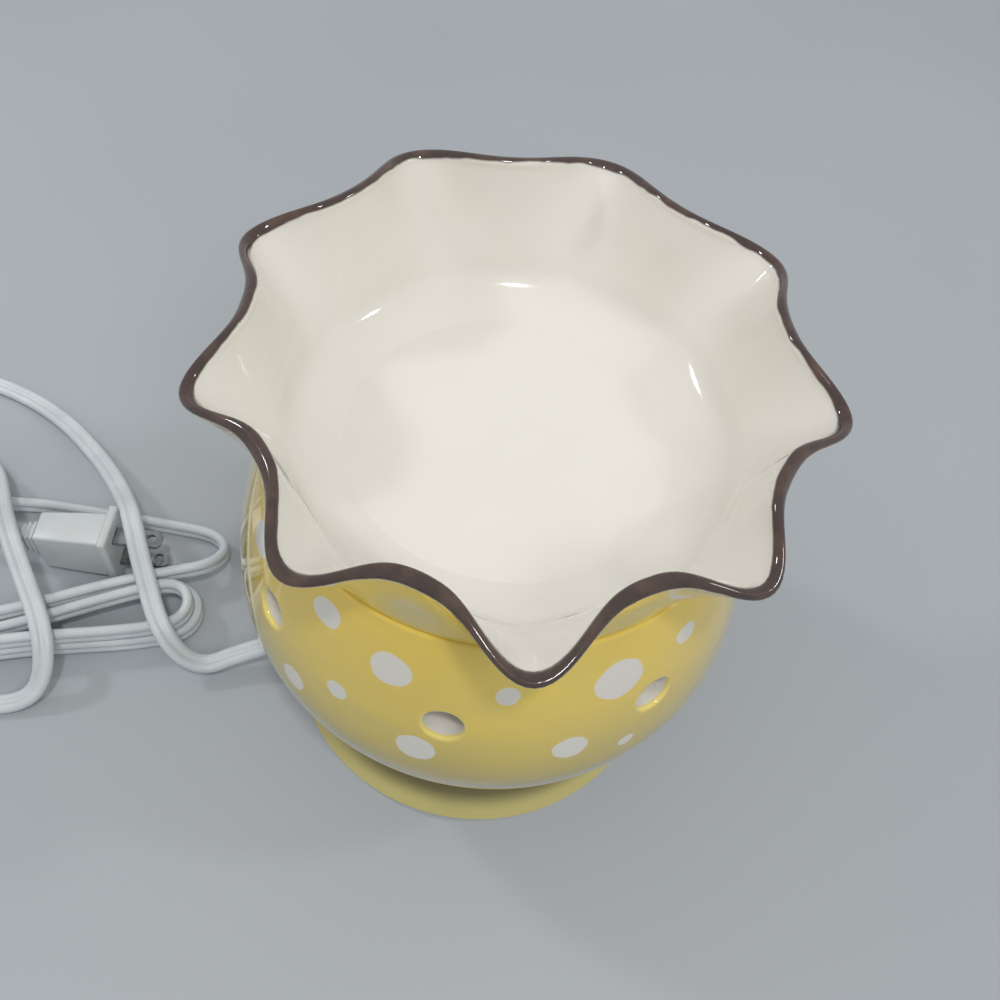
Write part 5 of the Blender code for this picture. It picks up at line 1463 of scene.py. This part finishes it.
shell_outer = [(2.9 * MM, SHELL_LOW), (SHELL_OUT - 0.4 * MM, SHELL_LOW)]
shell_outer += wall_up(SHELL_OUT - 0.12 * MM, SHELL_LOW + 0.4 * MM, SHELL_TOP, 0.3 * MM)
shell_inner = wall_up(SHELL_IN + 0.13 * MM, SHELL_LOW + 0.6 * MM, SHELL_TOP, 0.3 * MM)[::-1]
brass_shell = turned("screw_shell_rolled", shell_outer + shell_inner
                     + [(2.9 * MM, SHELL_LOW + 0.6 * MM)], 60, ring=True)
threaded(brass_shell, SHELL_LOW + MM, SHELL_TOP - MM, 0.12 * MM, SHELL_IN - 0.2 * MM)
rivet = rod("shell_rivet", 1.1 * MM, 37.5 * MM, SHELL_LOW + 0.3 * MM, 24)
placed(rivet, Matrix.Translation((RIVET_X, 0.0, 0.0)))
dressed(joined([brass_shell, rivet]), "base", "brass", "screw_shell")

# %% The bulb
BULB_LOW, BULB_TOP = 48.9 * MM, 65.9 * MM
BULB_R = 5.9 * MM
GLASS_R, GLASS_WALL = 15.0 * MM, 0.8 * MM
NECK_R = 4.75 * MM
STEM_R, STEM_TIP_R = 2.2 * MM, 1.3 * MM
HALF_SPAN, LOOP_HIGH = 4.5 * MM, 8.5 * MM  # of the filament

bulb_outer = [(4.5 * MM, BULB_LOW), (5.35 * MM, BULB_LOW + 1.6 * MM)]
bulb_outer += wall_up(BULB_R - 0.22 * MM, BULB_LOW + 1.9 * MM, BULB_TOP - 1.5 * MM, 0.25 * MM)
bulb_outer += [(BULB_R, BULB_TOP - 1.2 * MM)]
bulb_outer += arc((BULB_R - 0.2 * MM, BULB_TOP - 0.2 * MM), 0.2 * MM, 0, 90, 3)
bulb_inner = [(5.05 * MM, BULB_TOP), (5.05 * MM, BULB_LOW + 2.4 * MM),
              (4.1 * MM, BULB_LOW + 0.4 * MM), (2.5 * MM, BULB_LOW + 0.4 * MM),
              (2.5 * MM, BULB_LOW)]
cap = turned("bulb_cap_threaded", bulb_outer + bulb_inner, 60, ring=True)
threaded(cap, BULB_LOW + 1.9 * MM, BULB_TOP - 1.5 * MM, 0.2 * MM, BULB_R - 0.5 * MM)
dressed(cap, "bulb", "brass", "bulb_cap", angle=50.0)

neck_low = BULB_TOP - 3.0 * MM
neck_top = neck_low + 7.0 * MM
waist_r = NECK_R + MM
globe_z = neck_top + math.sqrt(GLASS_R ** 2 - waist_r ** 2)
globe_end = math.degrees(math.asin(waist_r / GLASS_R)) - 90
glass_outer = arc((0.0, globe_z), GLASS_R, 90, globe_end, 30)
glass_inner = arc((0.0, globe_z), GLASS_R - GLASS_WALL, globe_end, 90, 30)
flare_out = bent(glass_outer[-1], (waist_r - 0.6 * MM, neck_top - 0.8 * MM),
                 (NECK_R, neck_top - MM), (NECK_R, neck_low + 2.4 * MM), 8)[1:]
flare_in = bent((NECK_R - GLASS_WALL, neck_low + 2.4 * MM), (NECK_R - GLASS_WALL, neck_top - MM),
                (waist_r - 1.4 * MM, neck_top - 0.6 * MM), glass_inner[0], 8)[:-1]
neck_end = [(NECK_R, neck_low), (NECK_R - GLASS_WALL, neck_low)]
glass = turned("bulb_envelope", glass_outer + flare_out + neck_end + flare_in + glass_inner, 72)
dressed(glass, "bulb", "clear_glass", "bulb_glass", angle=60.0)

stem_low, stem_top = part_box("bulb_stem")
tip_z = stem_top.z - STEM_TIP_R
stem_profile = [(0.0, stem_low.z), (STEM_R, stem_low.z), (STEM_R, BULB_TOP)]
stem_profile += bent((STEM_R, BULB_TOP), (1.3 * MM, BULB_TOP + 2 * MM),
                     (1.1 * MM, BULB_TOP + 4 * MM), (1.1 * MM, tip_z), 10)[1:]
stem_profile += arc((0.0, tip_z), STEM_TIP_R, 0, 90, 6)
dressed(turned("bulb_stem_glass", stem_profile, 36), "bulb", "clear_glass", "bulb_stem",
        angle=50.0)

loop = ((0.0, 0.0), (0.1, 0.12), (0.7, 0.35), (1.0, 0.7), (0.6, 1.0), (0.0, 0.82),
        (-0.6, 1.0), (-1.0, 0.7))  # shares of the half span and of the height
loop_route = [Vector((x * HALF_SPAN, 0.0, stem_top.z + CLEAR + z * LOOP_HIGH)) for x, z in loop]
filament_line = smooth_route(loop_route, 0.3 * MM)
filament = swept("filament", filament_line, round_section(0.3 * MM, 8))
dressed(filament, "bulb", "tungsten", "bulb_filament")

# %% [markdown]
# ## Felt pads
# Four felt pads keep the glaze off the table. Felt is soft, so each pad bulges between two
# rounded edges. One is turned and the others are copies of it.

# %% Felt pads
PAD_R = 2.1 * MM
pad_profile = [(0.0, 0.0)] + arc((PAD_R - PAD_HEIGHT / 2, PAD_HEIGHT / 2), PAD_HEIGHT / 2,
                                 -90, 90, 8) + [(0.0, PAD_HEIGHT)]
pad = turned("pad_1", pad_profile, 32)
pads = [pad] + [copy_of(pad, f"pad_{i}", Matrix.Identity(4)) for i in (2, 3, 4)]
for i, piece in enumerate(pads):
    low_corner, high_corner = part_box(f"foot_pad_{i + 1}")
    spot = (low_corner + high_corner) / 2
    placed(piece, Matrix.Translation((spot.x, spot.y, low_corner.z)))
    dressed(piece, "base", "felt", f"foot_pad_{i + 1}")

# %% [markdown]
# ## Last step
# The lead is a free cord. Here the selection is only cleared, in object mode.

# %% Clear the selection
fresh_start()
